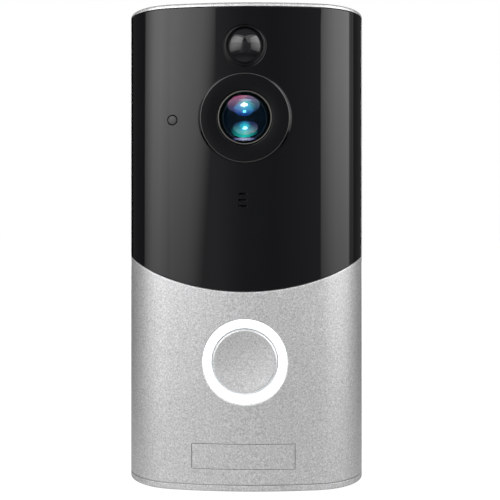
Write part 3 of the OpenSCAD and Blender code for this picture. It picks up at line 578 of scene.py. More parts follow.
def surface(name, colour, rough, metallic, tooth, vary=0.12, cloud=60.0, grain=2500.0,
            rough_vary=0.05, wear=0.0, speckle=0.0):
    """A material with cloudy colour, fine grain in its roughness and bump, and edges worn lighter."""
    material, tree, shader = new_material(name)
    shader.inputs["Metallic"].default_value = metallic
    clouds = noise(tree, cloud, 3.0, 0.55)
    fine = noise(tree, grain, 2.0, 0.6)
    low = tuple(c * (1 - vary) for c in colour)
    high = tuple(min(1.0, c * (1 + vary)) for c in colour)
    tone = ramp(tree, clouds, [(0.3, low), (0.7, high)])
    if speckle:
        flecks = ramp(tree, fine, [(0.3, 1 - speckle), (0.7, 1 + speckle)])
        tone = blend(tree, 1.0, tone, flecks, "MULTIPLY")
    if wear:
        edge = add(tree, "ShaderNodeNewGeometry").outputs["Pointiness"]
        worn = ramp(tree, edge, [(0.51, 0.0), (0.6, wear)])
        light = tuple(min(1.0, c + 0.25) for c in colour)
        tone = blend(tree, worn, tone, (*light, 1.0))
    tree.links.new(tone, shader.inputs["Base Color"])
    smooth, coarse = max(0.01, rough - rough_vary), min(1.0, rough + rough_vary)
    feed(tree, shader, "Roughness", fine, [(0.25, smooth), (0.75, coarse)])
    if tooth:
        bump(tree, shader, fine, tooth)
    return material


def clear_glass(name, tint, ior):
    """Clear glass, very slightly uneven in tint."""
    material, tree, shader = new_material(name)
    shader.inputs["Transmission Weight"].default_value = 1.0
    shader.inputs["IOR"].default_value = ior
    low = tuple(c * 0.97 for c in tint)
    mottle(tree, shader, "Base Color", noise(tree, 250.0), low, tint)
    mottle(tree, shader, "Roughness", noise(tree, 900.0), 0.0, 0.012)
    return material


def ring_band(tree, middle, low, high, soft):
    """1 between two radii in mm from an axis along y, fading to 0 over soft beyond them."""
    place = add(tree, "ShaderNodeTexCoord").outputs["Object"]
    parts = add(tree, "ShaderNodeSeparateXYZ", _0=place)
    u = maths(tree, "MULTIPLY_ADD", parts.outputs["X"], 1 / MM, -middle[0])
    v = maths(tree, "MULTIPLY_ADD", parts.outputs["Z"], 1 / MM, -middle[2])
    radius = maths(tree, "SQRT", maths(tree, "MULTIPLY_ADD", u, u, maths(tree, "MULTIPLY", v, v)))
    rise = maths(tree, "MULTIPLY_ADD", radius, 1 / soft, -low / soft + 1)
    fall = maths(tree, "MULTIPLY_ADD", radius, -1 / soft, high / soft + 1)
    both = maths(tree, "MINIMUM", maths(tree, "MINIMUM", rise, fall), 1.0)
    return maths(tree, "MAXIMUM", both, 0.0)


# colour, roughness, metallic, depth of the grain in mm, and what else surface() takes
FINISHES = {
    "satin_silver": (
        (0.555, 0.555, 0.56), 0.48, 0.75, 0.0025,
        dict(vary=0.02, grain=2900.0, speckle=0.3, wear=0.15),
    ),
    "piano_black": (
        (0.003, 0.0032, 0.0037), 0.03, 0.0, 0.0,
        dict(vary=0.1, cloud=25.0, grain=400.0, rough_vary=0.012),
    ),
    "charcoal_plastic": ((0.045, 0.046, 0.05), 0.5, 0.0, 0.008, dict(grain=3000.0, wear=0.2)),
    "bracket_plastic": ((0.03, 0.03, 0.033), 0.55, 0.0, 0.01, dict(grain=2600.0, wear=0.2)),
    "steel_screw": ((0.6, 0.6, 0.62), 0.28, 1.0, 0.002, dict(grain=1800.0, wear=0.4)),
    "black_screw": ((0.03, 0.03, 0.032), 0.35, 0.6, 0.002, dict(grain=1800.0, wear=0.3)),
    "polished_trim": ((0.2, 0.19, 0.18), 0.34, 0.9, 0.0005, dict(vary=0.05, rough_vary=0.03)),
    "satin_cap": (
        (0.62, 0.62, 0.625), 0.45, 0.75, 0.002,
        dict(vary=0.03, grain=2900.0, speckle=0.26, wear=0.15),
    ),
    "black_rubber": ((0.02, 0.02, 0.021), 0.75, 0.0, 0.006, dict(grain=1500.0, wear=0.1)),
    "barrel_black": ((0.008, 0.008, 0.009), 0.4, 0.3, 0.002, {}),
    "ring_violet": ((0.09, 0.075, 0.11), 0.35, 0.7, 0.002, dict(vary=0.1)),
    "sensor_metal": ((0.7, 0.7, 0.7), 0.25, 1.0, 0.001, {}),
    "board_green": ((0.02, 0.13, 0.06), 0.3, 0.0, 0.006, dict(cloud=400.0, grain=1200.0, vary=0.25)),
    "chip_black": ((0.02, 0.02, 0.021), 0.55, 0.0, 0.004, dict(grain=4000.0)),
    "sensor_chip": ((0.1, 0.14, 0.16), 0.1, 0.3, 0.0, dict(cloud=900.0, vary=0.4)),
    "led_white": ((0.9, 0.84, 0.5), 0.3, 0.0, 0.002, dict(cloud=500.0)),
    "led_dark": ((0.12, 0.1, 0.09), 0.15, 0.0, 0.0, dict(cloud=500.0)),
    "white_plastic": ((0.8, 0.8, 0.79), 0.45, 0.0, 0.004, {}),
    "light_guide": ((0.006, 0.006, 0.006), 0.05, 0.0, 0.0, dict(cloud=400.0, rough_vary=0.02)),
    "gold_plate": ((0.8, 0.6, 0.25), 0.25, 1.0, 0.001, dict(wear=0.3)),
    "shield_metal": ((0.62, 0.62, 0.63), 0.32, 1.0, 0.002, dict(wear=0.3)),
    "flex_amber": ((0.45, 0.22, 0.04), 0.25, 0.0, 0.002, dict(cloud=300.0, vary=0.2)),
    "switch_black": ((0.025, 0.025, 0.026), 0.5, 0.0, 0.005, dict(wear=0.15)),
    "plunger_amber": ((0.6, 0.38, 0.1), 0.45, 0.0, 0.003, {}),
    "cone_fabric": ((0.05, 0.05, 0.055), 0.7, 0.0, 0.01, dict(cloud=500.0, vary=0.3)),
    "magnet_steel": ((0.5, 0.5, 0.52), 0.3, 1.0, 0.002, {}),
    "foam_black": ((0.03, 0.03, 0.03), 0.95, 0.0, 0.02, dict(cloud=900.0, vary=0.4)),
    "cell_wrap": ((0.04, 0.14, 0.38), 0.28, 0.0, 0.001, dict(cloud=80.0, wear=0.2)),
    "contact_nickel": ((0.7, 0.67, 0.58), 0.28, 1.0, 0.002, dict(wear=0.3)),
    "reset_orange": ((0.75, 0.22, 0.03), 0.4, 0.0, 0.003, {}),
    "dome_black": ((0.009, 0.009, 0.01), 0.06, 0.0, 0.0, dict(cloud=200.0, rough_vary=0.02)),
}
MATERIALS = {
    name: surface(name, colour, rough, metallic, tooth, **more)
    for name, (colour, rough, metallic, tooth, more) in FINISHES.items()
}
for name, tint, ior in [
    ("clear_glass", (0.66, 0.99, 0.95), 1.75),
    ("filter_glass", (0.55, 0.85, 0.82), 1.52),
]:
    MATERIALS[name] = clear_glass(name, tint, ior)


# the light ring's bright band in mm, how softly it ends, and its strength there and at the rims
GLOW_RADII = (9.15, 10.8)
GLOW_SOFT = 0.2
GLOW_MIDDLE = 1.56
GLOW_RIM = 0.36


def glow_ring():
    """Milky diffuser, lit from behind, with dimmer rims."""
    material, tree, shader = new_material("glow_ring")
    shader.inputs["Roughness"].default_value = 0.35
    cloud = noise(tree, 300.0)
    mottle(tree, shader, "Base Color", cloud, (0.86, 0.9, 0.93), (0.92, 0.95, 0.97))
    mottle(tree, shader, "Emission Color", cloud, (0.92, 0.98, 1.0), (1.0, 1.0, 1.0))
    lit = ring_band(tree, BELL, *GLOW_RADII, GLOW_SOFT)
    strength = maths(tree, "MULTIPLY_ADD", lit, GLOW_MIDDLE - GLOW_RIM, GLOW_RIM)
    tree.links.new(strength, shader.inputs["Emission Strength"])
    bump(tree, shader, noise(tree, 1500.0), 0.002)
    return material


def lens_coat():
    """Dark lens glass under a thin interference coat, which tints what it reflects."""
    material, tree, shader = new_material("coated_glass")
    cloud = noise(tree, 300.0)
    mottle(tree, shader, "Base Color", cloud, (0.004, 0.005, 0.008), (0.008, 0.01, 0.016))
    mottle(tree, shader, "Roughness", cloud, 0.02, 0.04)
    shader.inputs["IOR"].default_value = 1.7
    shader.inputs["Thin Film Thickness"].default_value = 155.0
    shader.inputs["Thin Film IOR"].default_value = 2.1
    return material


def paint_light_round_camera(name, low, high, soft, inside=None, outside=None):
    """Gives a material another colour on a ring about the camera's axis, or everywhere off that ring; used
    below for a painted highlight and a painted shade.
    """
    tree = MATERIALS[name].node_tree
    socket = tree.nodes["Principled BSDF"].inputs["Base Color"]
    own = socket.links[0].from_socket
    on_ring = ring_band(tree, CAM, low, high, soft)
    tree.links.new(blend(tree, on_ring, outside or own, inside or own), socket)


MATERIALS["glow_ring"] = glow_ring()
MATERIALS["coated_glass"] = lens_coat()
# painted highlight: a lighter line is painted all round the boss's shoulder
paint_light_round_camera("piano_black", BOSS_R - 0.12, BOSS_R + 0.02, 0.06, inside=(0.032, 0.032, 0.032, 1))
# painted shade: all of the trim ring but its narrow front land is painted near black, for the dark gap
# round the lens
paint_light_round_camera("polished_trim", *TRIM_LAND, 0.05, outside=(0.004, 0.004, 0.004, 1))

# ---------- dark panel


def s_at_corner_y(y):
    """Arc length at which the right corner is at y."""
    return S_MEET + CORNER_R * (math.acos((CORNER_CY - y) / CORNER_R) - MEET)


def panel_outline():
    """The panel's edge as (s, z), counterclockwise."""
    s1 = s_at_corner_y(PANEL_SIDE_Y)
    z_top = PANEL_HIGH[2]
    low = []
    for s in spread(-s1, s1, EDGE_STEP):
        x = outline(s)[0]
        low.append((s, ARC_Z - math.sqrt(ARC_R**2 - x**2)))
    z_side = ARC_Z - math.sqrt(ARC_R**2 - outline(s1)[0] ** 2)
    right = [(s1, z) for z in spread(z_side, z_top, 4)]
    top = [(s, z_top) for s in spread(s1, -s1, 1.2)]
    left = [(-s1, z) for z in spread(z_top, z_side, 4)]
    return low + right + top + left


def build_panel():
    m = Mesher()
    edge = panel_outline()
    holes = [
        (circle(PIR, PIR_HOLE_R, 56), 0.22),
        (circle(LIGHT, LIGHT_HOLE_R, 28), 0.1),
    ]
    for i in (-1, 0, 1):
        x, z = MIC[0], MIC[2] + i * SLOT_PITCH
        slot = skin_rectangle(
            x - SLOT_HALF_LENGTH, x + SLOT_HALF_LENGTH, z - SLOT_HALF_WIDTH, z + SLOT_HALF_WIDTH, 0.12, 0.4,
        )
        holes.append((slot, 0.05))
    flat, top, low = rim(m, edge, -1, 0.15, PANEL_T)
    loops, numbers = [flat], list(top)
    back_loops, back_numbers = [edge], list(low)
    for loop, radius in holes:
        flat, top, low = rim(m, loop, 1, radius, PANEL_T)
        loops.append(flat)
        numbers += top
        back_loops.append(loop)
        back_numbers += low
    # the boss: its foot on the skin, a bevel, a rounded shoulder, the face and the bore
    section = rounded_section([
        (BOSS_R + BOSS_FOOT * BOSS_SLOPE, BOSS_Y + BOSS_FOOT, 0),
        (BOSS_R, BOSS_Y, 0.2),
        (BORE_R, BOSS_Y, 0.1),
        (BORE_R, BOSS_Y + BORE_DEPTH, 0),
    ])
    around = [(math.cos(t), math.sin(t)) for t in once_round(BOSS_POINTS)]
    foot, foot_loop, bore, bore_loop = [], [], [], []
    for c, s in around:
        r = BOSS_R
        for _ in range(30):  # settles where the bevel meets the curved skin
            r = BOSS_R + (outline(s_at_x(r * c))[1] - BOSS_Y) * BOSS_SLOPE
        at, z = s_at_x(CAM[0] + r * c), CAM[2] + r * s
        foot.append((skin_point(at, z), skin_normal(at), (c, -BOSS_SLOPE, s)))
        foot_loop.append((at, z))
        at, z = s_at_x(CAM[0] + BORE_R * c), CAM[2] + BORE_R * s
        bore.append((skin_point(at, z, PANEL_T), (-c, 0, -s), -skin_normal(at)))
        bore_loop.append((at, z))
    rows = [m.ring(foot)]
    for before, p, after in zip(section, section[1:], section[2:]):
        t = (p - before).normalized() + (after - p).normalized()
        n = Vector((-t.y, t.x)).normalized()
        if n.y > 0:
            n = -n
        rows.append(m.ring([
            (Vector((CAM[0] + p.x * c, p.y, CAM[2] + p.x * s)), (n.x * c, n.y, n.x * s)) for c, s in around
        ]))
    rows.append(m.ring(bore))
    m.strips(rows)
    loops.append(foot_loop)
    numbers += rows[0]
    back_loops.append(bore_loop)
    back_numbers += rows[-1]
    cover_skin(m, loops, numbers, FRONT_GRID)
    cover_skin(m, back_loops, back_numbers, PANEL_BACK_GRID, PANEL_T, -1)
    return m.build("panel_moulding", "unit", "piano_black", "front_panel")


# ---------- silver shell and its end plate

OUTLINE_S = (
    spread(-S_BACK, -S_SIDE, 2.5)
    + spread(-S_SIDE, -S_MEET, 0.9)
    + spread(-S_MEET, S_MEET, 1.5)
    + spread(S_MEET, S_SIDE, 0.9)
    + spread(S_SIDE, S_BACK, 2.5, True)
)
BACK_STEPS = 20


def plan_ring(m, z, inset, tilt):
    """A level ring round the outline, drawn in by inset; normals tilt from level (0) to upright (90)."""
    back_y = JOINT_Y - inset
    c, up = math.cos(math.radians(tilt)), Vector((0, 0, math.sin(math.radians(tilt))))
    items = []
    for s in OUTLINE_S:
        p = skin_point(s, z, inset)
        p.y = min(p.y, back_y)
        n = [skin_normal(s) * c + up]
        if abs(s) == S_BACK:
            n.append(Vector((0, c, 0)) + up)
        items.append((p, *n))
    width = HALF_W - inset
    for x in spread(width, -width, 2 * width / BACK_STEPS)[1:]:
        items.append((Vector((x, back_y, z)), Vector((0, c, 0)) + up))
    return m.ring(items)


def cap(m, ring, z, up, holes=()):
    """Closes a level ring; holes are (loop, numbers)."""
    loops = [[(m.points[i].x, m.points[i].y) for i in ring]] + [h[0] for h in holes]
    numbers = list(ring) + [i for h in holes for i in h[1]]
    m.cover(loops, numbers, CAP_GRID, lambda u, v: Vector((u, v, z)), lambda u, v: ((0, 0, up),))


def plan_circle(x, y, r, count):
    return [(x + r * math.cos(a), y + r * math.sin(a)) for a in once_round(count)]


def plan_hole(m, loop, z0, z1, chamfer):
    """A hole straight down from z1 to z0 with its lower edge eased, as (loop, numbers) at z0 and at z1."""
    wide = grown(loop, chamfer)
    middle = sum((Vector(p) for p in loop), Vector((0, 0))) / len(loop)
    low, eased, high = [], [], []
    for p, q in zip(loop, wide):
        inward = (middle - Vector(p)).normalized().to_3d()
        low.append((Vector((*q, z0)), (0, 0, -1), inward - Vector((0, 0, 1))))
        eased.append((Vector((*p, z0 + chamfer)), inward, inward - Vector((0, 0, 1))))
        high.append((Vector((*p, z1)), inward, (0, 0, 1)))
    rows = [m.ring(items) for items in (low, eased, high)]
    m.strips(rows)
    return (wide, rows[0]), (loop, rows[2])


def plan_holes(m, holes, z0, z1):
    """Several such holes from (loop, chamfer), as all their (loop, numbers) at z0 and all at z1."""
    ends = [plan_hole(m, loop, z0, z1, chamfer) for loop, chamfer in holes]
    return [low for low, _ in ends], [high for _, high in ends]


def edge_rings(m, z, radius, up, steps=5):
    """Rounded edge between a level face at z and the sides, from the face outwards."""
    rows = []
    for k in range(steps + 1):
        a = math.pi / 2 * k / steps
        level, inset = z - up * radius * (1 - math.cos(a)), radius * (1 - math.sin(a))
        rows.append(plan_ring(m, level, inset, up * math.degrees(math.pi / 2 - a)))
    m.strips(rows)
    return rows[0], rows[-1]


def name_loop(gap):
    """The name plate's edge, or one that leaves a gap round it."""
    low, high = NAME_LOW, NAME_HIGH
    return skin_rectangle(low[0] - gap, high[0] + gap, low[2] - gap, high[2] + gap, NAME_R + gap, 1.0)


def skin_boundary(low, high, levels):
    """The skin's whole edge as (s, z): its lower end, right side, upper end and left side."""
    right, left = [(S_BACK, z) for z in levels], [(-S_BACK, z) for z in reversed(levels)]
    return [(s, low) for s in OUTLINE_S] + right + [(s, high) for s in reversed(OUTLINE_S)] + left


def build_shell():
    m = Mesher()
    low_z, high_z = SHELL_LOW[2], SHELL_HIGH[2]
    floor_z, roof_z = low_z + FLOOR_T, high_z - WALL_T
    top_face, top_ring = edge_rings(m, high_z, TOP_ROUNDING, 1, 8)
    low_face, low_ring = edge_rings(m, low_z, 0.12, -1)
    cap(m, top_face, high_z, 1)
    front_n = len(OUTLINE_S)
    # the floor, with the sound opening and two screw holes
    holes = [(rectangle(-SOUND_X, SOUND_X, *SOUND_Y, 0.6, 2), 0.1)]
    holes += [(plan_circle(x, PLATE_Y, PILOT_R, 20), 0.1) for x in (SCREW_X, -SCREW_X)]
    outer_holes, inner_holes = plan_holes(m, holes, low_z, floor_z)
    cap(m, low_face, low_z, -1, outer_holes)
    # the skin between the two rings
    skin_low, skin_high = m.points[low_ring[0]].z, m.points[top_ring[0]].z
    levels = spread(skin_low, skin_high, 6)[1:]
    right = [m.add(skin_point(S_BACK, z), (1, 0, 0), (0, 1, 0)) for z in levels]
    left = [m.add(skin_point(-S_BACK, m.points[i].z), (-1, 0, 0), (0, 1, 0)) for i in right]
    around = low_ring[:front_n] + right + top_ring[:front_n][::-1] + left[::-1]
    seat = grown(panel_outline(), SEAT_GAP)
    seat_side = s_at_corner_y(PANEL_SIDE_Y)
    seat_arc = len(spread(-seat_side, seat_side, EDGE_STEP))
    # eased most along the arc, less at the sides, least at the top
    easing = [0.08 if z > PANEL_HIGH[2] else 0.1 if i > seat_arc else 0.3 for i, (_, z) in enumerate(seat)]
    seat_flat, seat_top, seat_low = rim(m, seat, 1, easing, SEAT_T)
    bell = circle(BELL, BELL_HOLE_R, 112)
    bell_flat, bell_top, bell_low = rim(m, bell, 1, 0.35, WALL_T)
    pocket = name_loop(NAME_GAP)
    pocket_flat, pocket_top, pocket_low = rim(m, pocket, 1, 0.1, POCKET_DEPTH)
    boundary = skin_boundary(skin_low, skin_high, levels)
    around += seat_top + bell_top + pocket_top
    cover_skin(m, [boundary, seat_flat, bell_flat, pocket_flat], around, FRONT_GRID)
    cover_skin(m, [pocket], pocket_low, SMALL_GRID, POCKET_DEPTH)
    # the seat's floor and the holes through it
    through = [circle(middle, r, count) for middle, r, count in THROUGH]
    upper = [m.ring([(skin_point(s, z, SEAT_T), skin_normal(s)) for s, z in loop]) for loop in through]
    cover_skin(m, [seat] + through, seat_low + sum(upper, []), INNER_GRID, SEAT_T)
    lower = [walls(m, loop, row, WALL_T) for loop, row in zip(through, upper)]
    # inside
    inner_low, inner_top = (
        [m.add(skin_point(s, z, WALL_T), -skin_normal(s), (0, 0, up), (0, 1, 0)) for s in OUTLINE_S]
        for z, up in ((floor_z, 1), (roof_z, -1))
    )
    steps = spread(floor_z, roof_z, 6)[1:]
    inner_right, inner_left = (
        [m.add(skin_point(s, z, WALL_T), (into, 0, 0), (0, 1, 0)) for z in steps]
        for s, into in ((S_BACK, -1), (-S_BACK, 1))
    )
    boundary = skin_boundary(floor_z, roof_z, steps)
    around = inner_low + inner_right + inner_top[::-1] + inner_left[::-1]
    cover_skin(m, [boundary, bell] + through, around + bell_low + sum(lower, []), INNER_GRID, WALL_T, -1)
    inner_w = HALF_W - WALL_T
    xs = spread(inner_w, -inner_w, 4)[1:]
    floor_back = [m.add((x, JOINT_Y, floor_z), (0, 1, 0), (0, 0, 1)) for x in xs]
    roof_back = [m.add((x, JOINT_Y, roof_z), (0, 1, 0), (0, 0, -1)) for x in xs]
    cap(m, inner_low + floor_back, floor_z, 1, inner_holes)
    cap(m, inner_top + roof_back, roof_z, -1)
    # the joint face at the back
    outer = (
        [low_ring[0]] + low_ring[front_n:][::-1] + [low_ring[front_n - 1]] + right
        + [top_ring[front_n - 1]] + top_ring[front_n:] + [top_ring[0]] + left[::-1]
    )
    inner = (
        [inner_low[0]] + floor_back[::-1] + [inner_low[-1]] + inner_right
        + [inner_top[-1]] + roof_back + [inner_top[0]] + inner_left[::-1]
    )
    flat = [[(m.points[i].x, m.points[i].z) for i in ring] for ring in (outer, inner)]
    m.cover(
        flat, outer + inner, JOINT_GRID, lambda u, v: Vector((u, JOINT_Y, v)), lambda u, v: ((0, 1, 0),),
    )
    return m.build("shell_casting", "unit", "satin_silver", "front_shell")


def build_end_plate():
    m = Mesher()
    low_face, low_ring = edge_rings(m, PLATE_LOW[2], 0.3, -1)
    shoulder_z = PLATE_HIGH[2] - GROOVE_H
    shoulder, high_ring = edge_rings(m, shoulder_z, 0.12, 1, 3)
    m.strip(low_ring, high_ring)
    neck = plan_ring(m, shoulder_z, GROOVE_DEPTH, 0)
    high_face = plan_ring(m, PLATE_HIGH[2], GROOVE_DEPTH, 90)
    m.strips([shoulder, neck, high_face])
    holes = [
        (plan_circle(i * HOLE_PITCH, PLATE_Y + j * HOLE_PITCH, HOLE_R, 24), 0.1)
        for i in range(-3, 4)
        for j in (-1, 0, 1)
    ]
    holes += [(plan_circle(x, PLATE_Y, SCREW_HOLE_R, 28), 1.0) for x in (-SCREW_X, SCREW_X)]
    low_holes, high_holes = plan_holes(m, holes, PLATE_LOW[2], PLATE_HIGH[2])
    cap(m, low_face, PLATE_LOW[2], -1, low_holes)
    cap(m, high_face, PLATE_HIGH[2], 1, high_holes)
    return m.build("end_casting", "unit", "satin_silver", "end_plate")


def build_name_plate():
    m = Mesher()
    edge = name_loop(0)
    flat, top, low = rim(m, edge, -1, 0.08, NAME_T)
    cover_skin(m, [flat], top, SMALL_GRID)
    cover_skin(m, [edge], low, SMALL_GRID, NAME_T, -1)
    return m.build("name_blank", "unit", "satin_silver", "name_plate")


build_panel()
build_shell()
build_end_plate()
build_name_plate()

# ---------- turned pieces


def turned(node, name, slot, middle, corners, count, body="unit", drape=None):
    """A turned piece in a CAD node's place."""
    m = Mesher()
    lathe(m, middle, rounded_section(corners), count, drape)
    return m.build(name, body, slot, node)


def dome_corners(low_r, apex_y, rim_y, steps=14):
    """Corners of a spherical cap from its rim to its apex."""
    ball = ball_radius(low_r, rim_y - apex_y)
    span = math.asin(low_r / ball)
    angles = [span * (1 - k / steps) for k in range(steps + 1)]
    return [(ball * math.sin(a), apex_y + ball * (1 - math.cos(a)), 0) for a in angles]


def sound_cloth():
    """The dark cloth behind the sound slots, on the floor of the microphone boot."""
    m = Mesher()
    corners = [(0, -30.52, 0), (1.5, -30.52, 0.04), (1.5, -30.4, 0), (0, -30.4, 0)]
    lathe(m, MIC, rounded_section(corners, 2), 32)
    return m.build("sound_cloth", "unit", "black_rubber")


sound_cloth()
turned(
    "light_ring", "ring_diffuser", "glow_ring", BELL,
    [(8.7, -32.9, 0.3), (11.0, -32.9, 0.3), (11.0, -30.0, 0), (12.4, -30.0, 0.1), (12.4, -29.2, 0.1),
     (9.75, -29.2, 0), (9.75, -31.3, 0), (8.7, -31.3, 0)],
    120, drape=(-32.5, -31.5),
)
turned(
    "button_cap", "button_disc", "satin_cap", BELL,
    [(0, -30.32, 0), (1.6, -30.32, 0), (1.6, -30.4, 0), (2.4, -30.4, 0), (2.4, -31.4, 0), (7.6, -31.4, 0),
     (7.6, -30.4, 0), (9.4, -30.4, 0.05), (9.4, -31.2, 0.05), (8.45, -31.2, 0), (8.45, -32.45, 0.12),
     (8.1, -32.8, 0.1)]
    + dome_corners(7.9, -32.23, -32.8, 12),
    112, body="bell_button",
)
turned(
    "lens_trim_ring", "trim_ring", "polished_trim", CAM,
    [(6.65, -33.5, 0.08), (6.95, -33.5, 0.1), (7.2, -33.2, 0.1), (7.2, -31.45, 0), (8.4, -31.45, 0.05),
     (8.4, -31.2, 0.05), (6.1, -31.2, 0), (6.1, -32.3, 0), (6.65, -32.3, 0)],
    112,
)
cover = turned(
    "camera_window", "camera_cover", "clear_glass", CAM,
    [(0, -32.35, 0), (6.6, -32.35, 0.08)] + dome_corners(COVER_R, COVER_APEX, COVER_RIM, 20),
    96,
)
cover.visible_shadow = False
turned(
    "lens_retaining_ring", "retaining_ring", "ring_violet", CAM,
    [(5.4, -32.05, 0.04), (5.5, -32.05, 0.04), (5.72, -30.2, 0), (5.23, -30.2, 0), (5.23, -31.3, 0)],
    96,
)
turned(
    "lens_front_element", "front_lens", "coated_glass", CAM,
    dome_corners(5.15, -32.3, -30.041) + dome_corners(3.17, -31.04, -29.14)[::-1] + [(5.15, -29.14, 0)],
    96,
)
turned(
    "pir_bezel", "motion_bezel", "piano_black", PIR,
    [(4.9, -33.05, 0.1), (5.3, -33.05, 0.15), (5.3, -31.6, 0), (6.3, -31.6, 0.05), (6.3, -31.25, 0.05),
     (4.65, -31.25, 0), (4.65, -32.35, 0.05)],
    96,
)
turned(
    "pir_dome", "motion_dome", "dome_black", PIR,
    dome_corners(4.6, -34.2, -32.3, 20) + dome_corners(3.7, -33.3, -30.8, 10)[::-1]
    + [(5.9, -30.8, 0.05), (5.9, -31.2, 0.05), (4.6, -31.2, 0)],
    96,
)
turned(
    "light_pipe", "light_window", "light_guide", LIGHT,
    [(0, -32.95, 0), (1.12, -32.95, 0.12), (1.3, -32.6, 0), (1.3, -30.35, 0),
     (1.8, -30.35, 0.05), (1.8, -28.6, 0.05), (0, -28.6, 0)],
    40, drape=(-32.5, -30.4),
)

# ---------- carried-over CAD nodes

EASED = {
    "wall_bracket": 0.25, "security_screw": 0.08, "rear_housing": 0.2, "battery_door": 0.2, "usb_flap": 0.2,
    "terminal_block": 0.15, "terminal_screws": 0.1, "case_screws": 0.1, "end_plate_screws": 0.06,
    "usb_socket": 0.06, "reset_button": 0.12, "battery_cells": 0.15, "battery_contacts": 0.05,
}


def ease(obj, width):
    """Rounds a CAD node's edges off, without touching its own mesh."""
    weld = obj.modifiers.new("weld", "WELD")
    weld.merge_threshold = 0.002 * MM
    flat = obj.modifiers.new("flat", "DECIMATE")
    flat.decimate_type = "DISSOLVE"
    flat.angle_limit = math.radians(0.5)
    bevel = obj.modifiers.new("bevel", "BEVEL")
    bevel.width = width * MM
    bevel.segments = 2
    bevel.limit_method = "ANGLE"
    bevel.angle_limit = math.radians(35)
    bevel.loop_slide = False
    normal = obj.modifiers.new("normal", "WEIGHTED_NORMAL")
    normal.mode = "FACE_AREA_WITH_ANGLE"
    normal.weight = 100


for part in frame["record"]["subparts"]:
    node, slot = part["node"], part["material_slot"]
    obj = NODES[node]
    obj.data.materials.clear()
    obj.data.materials.append(MATERIALS[slot])
    if node in EASED:
        ease(obj, EASED[node])

# ---------- camera and light

# the photo's viewpoint in mm; the camera looks at the middle at the depth of the sides
APEX_TO_LENS = 219.6
EYE_X = 5.5
EYE_Z = 5.4
SIDES_Y = -20
CAMERA_TURN = math.degrees(math.atan2(EYE_X, SIDES_Y - FRONT_Y + APEX_TO_LENS))
LENS = 61.08
SHIFT_X = 0.008
SHIFT_Y = -0.0484

camera = linked("camera", bpy.data.cameras.new("camera"))
camera.data.lens = LENS
camera.data.sensor_width = 36.0
camera.data.shift_x = SHIFT_X
camera.data.shift_y = SHIFT_Y
camera.data.clip_start = 0.01
camera.data.clip_end = 20.0
camera.location = Vector((EYE_X, FRONT_Y - APEX_TO_LENS, EYE_Z)) * MM
camera.rotation_euler = (math.radians(90), 0, math.radians(CAMERA_TURN))
bpy.context.scene.camera = camera
bpy.context.scene.view_settings.view_transform = "Standard"

world = bpy.data.worlds.new("world")
bpy.context.scene.world = world
world.use_nodes = True
background = world.node_tree.nodes["Background"]
background.inputs["Color"].default_value = (1, 1, 1, 1)
background.inputs["Strength"].default_value = 1.0
for ray in ("diffuse", "glossy", "transmission", "scatter"):
    setattr(world.cycles_visibility, ray, False)

# the place up the softboxes, 0 to 1, about which the left one's fade leans
RISE_AT = 0.5925
# the lights are turned with the viewpoint
STUDIO_TURN = math.degrees(math.atan2(EYE_X, APEX_TO_LENS))


def fade(data, across, along, skew=0.0):
    """Fades an area light over its width and height. skew leans the first fade about RISE_AT."""
    data.use_nodes = True
    tree = data.node_tree
    place = add(tree, "ShaderNodeNewGeometry").outputs["Parametric"]
    u, v = add(tree, "ShaderNodeSeparateXYZ", _0=place).outputs[:2]
    if skew:
        u = maths(tree, "ADD", u, maths(tree, "MULTIPLY_ADD", v, -skew, skew * RISE_AT))
    fades = [ramp(tree, at, stops) for at, stops in zip((u, v), (across, along)) if stops]
    colour = blend(tree, 1.0, *fades, "MULTIPLY") if len(fades) == 2 else fades[0]
    tree.links.new(colour, tree.nodes["Emission"].inputs["Color"])


def hang(name, data, place, back):
    """Puts a light at place, its back towards the direction back, out of the camera's sight."""
    light = linked(name, data)
    light.location = place
    light.rotation_mode = "QUATERNION"
    light.rotation_quaternion = back.to_track_quat("Z", "Y")
    light.visible_camera = False
    return light


def softbox(name, azimuth, half_deg, elevation, distance, height, radiance,
            across=(), along=(), glossy=True, skew=0.0):
    """A rectangular light facing the object, in degrees and metres, faded over its width and height."""
    data = bpy.data.lights.new(name, "AREA")
    data.shape = "RECTANGLE"
    width = 2 * distance * math.tan(math.radians(half_deg))
    data.size, data.size_y = width, height
    data.energy = radiance * math.pi * width * height
    if across or along:
        fade(data, across, along, skew)
    a, e = math.radians(azimuth - STUDIO_TURN), math.radians(elevation)
    back = Vector((math.sin(a) * math.cos(e), -math.cos(a) * math.cos(e), math.sin(e)))
    light = hang(name, data, back * distance, back)
    light.visible_glossy = glossy


def share(degrees, middle, half):
    """Place across a softbox, 0 to 1, of a bearing from the front."""
    return 0.5 + 0.5 * math.tan(math.radians(degrees - middle)) / math.tan(math.radians(half))


# strengths over the softboxes' height, by place from 0 to 1, and over their width, by bearing in degrees
RISE = [
    (0.43, 0.03), (0.452, 0.4), (0.48, 0.51), (0.515, 0.63), (0.5465, 0.75), (RISE_AT, 0.91),
    (0.7, 1.0),
]
LEFT_MIDDLE, LEFT_HALF = 48.3, 38.3
LEFT_FADE = [
    (87, 0.05), (82, 0.32), (76, 0.45), (60, 0.88), (45, 1.0), (31, 0.88), (25, 0.77), (22, 0.67),
    (16, 0.5), (13.5, 0.33), (11.5, 0.12), (10.3, 0.0),
]
RIGHT_MIDDLE, RIGHT_HALF = 67.8, 40.7
RIGHT_FADE = [
    (27.2, 0.3), (29, 0.48), (32, 0.57), (45, 0.82), (59, 1.0), (75, 1.0), (92, 0.92), (95.5, 0.25),
    (100, 0.15),
]
FRONT_HALF = 27
FRONT_FADE = [(-10, 1.0), (-8, 0.9), (-4, 0.62), (0, 0.41), (10, 0.3), (20, 0.52), (25, 0.67)]
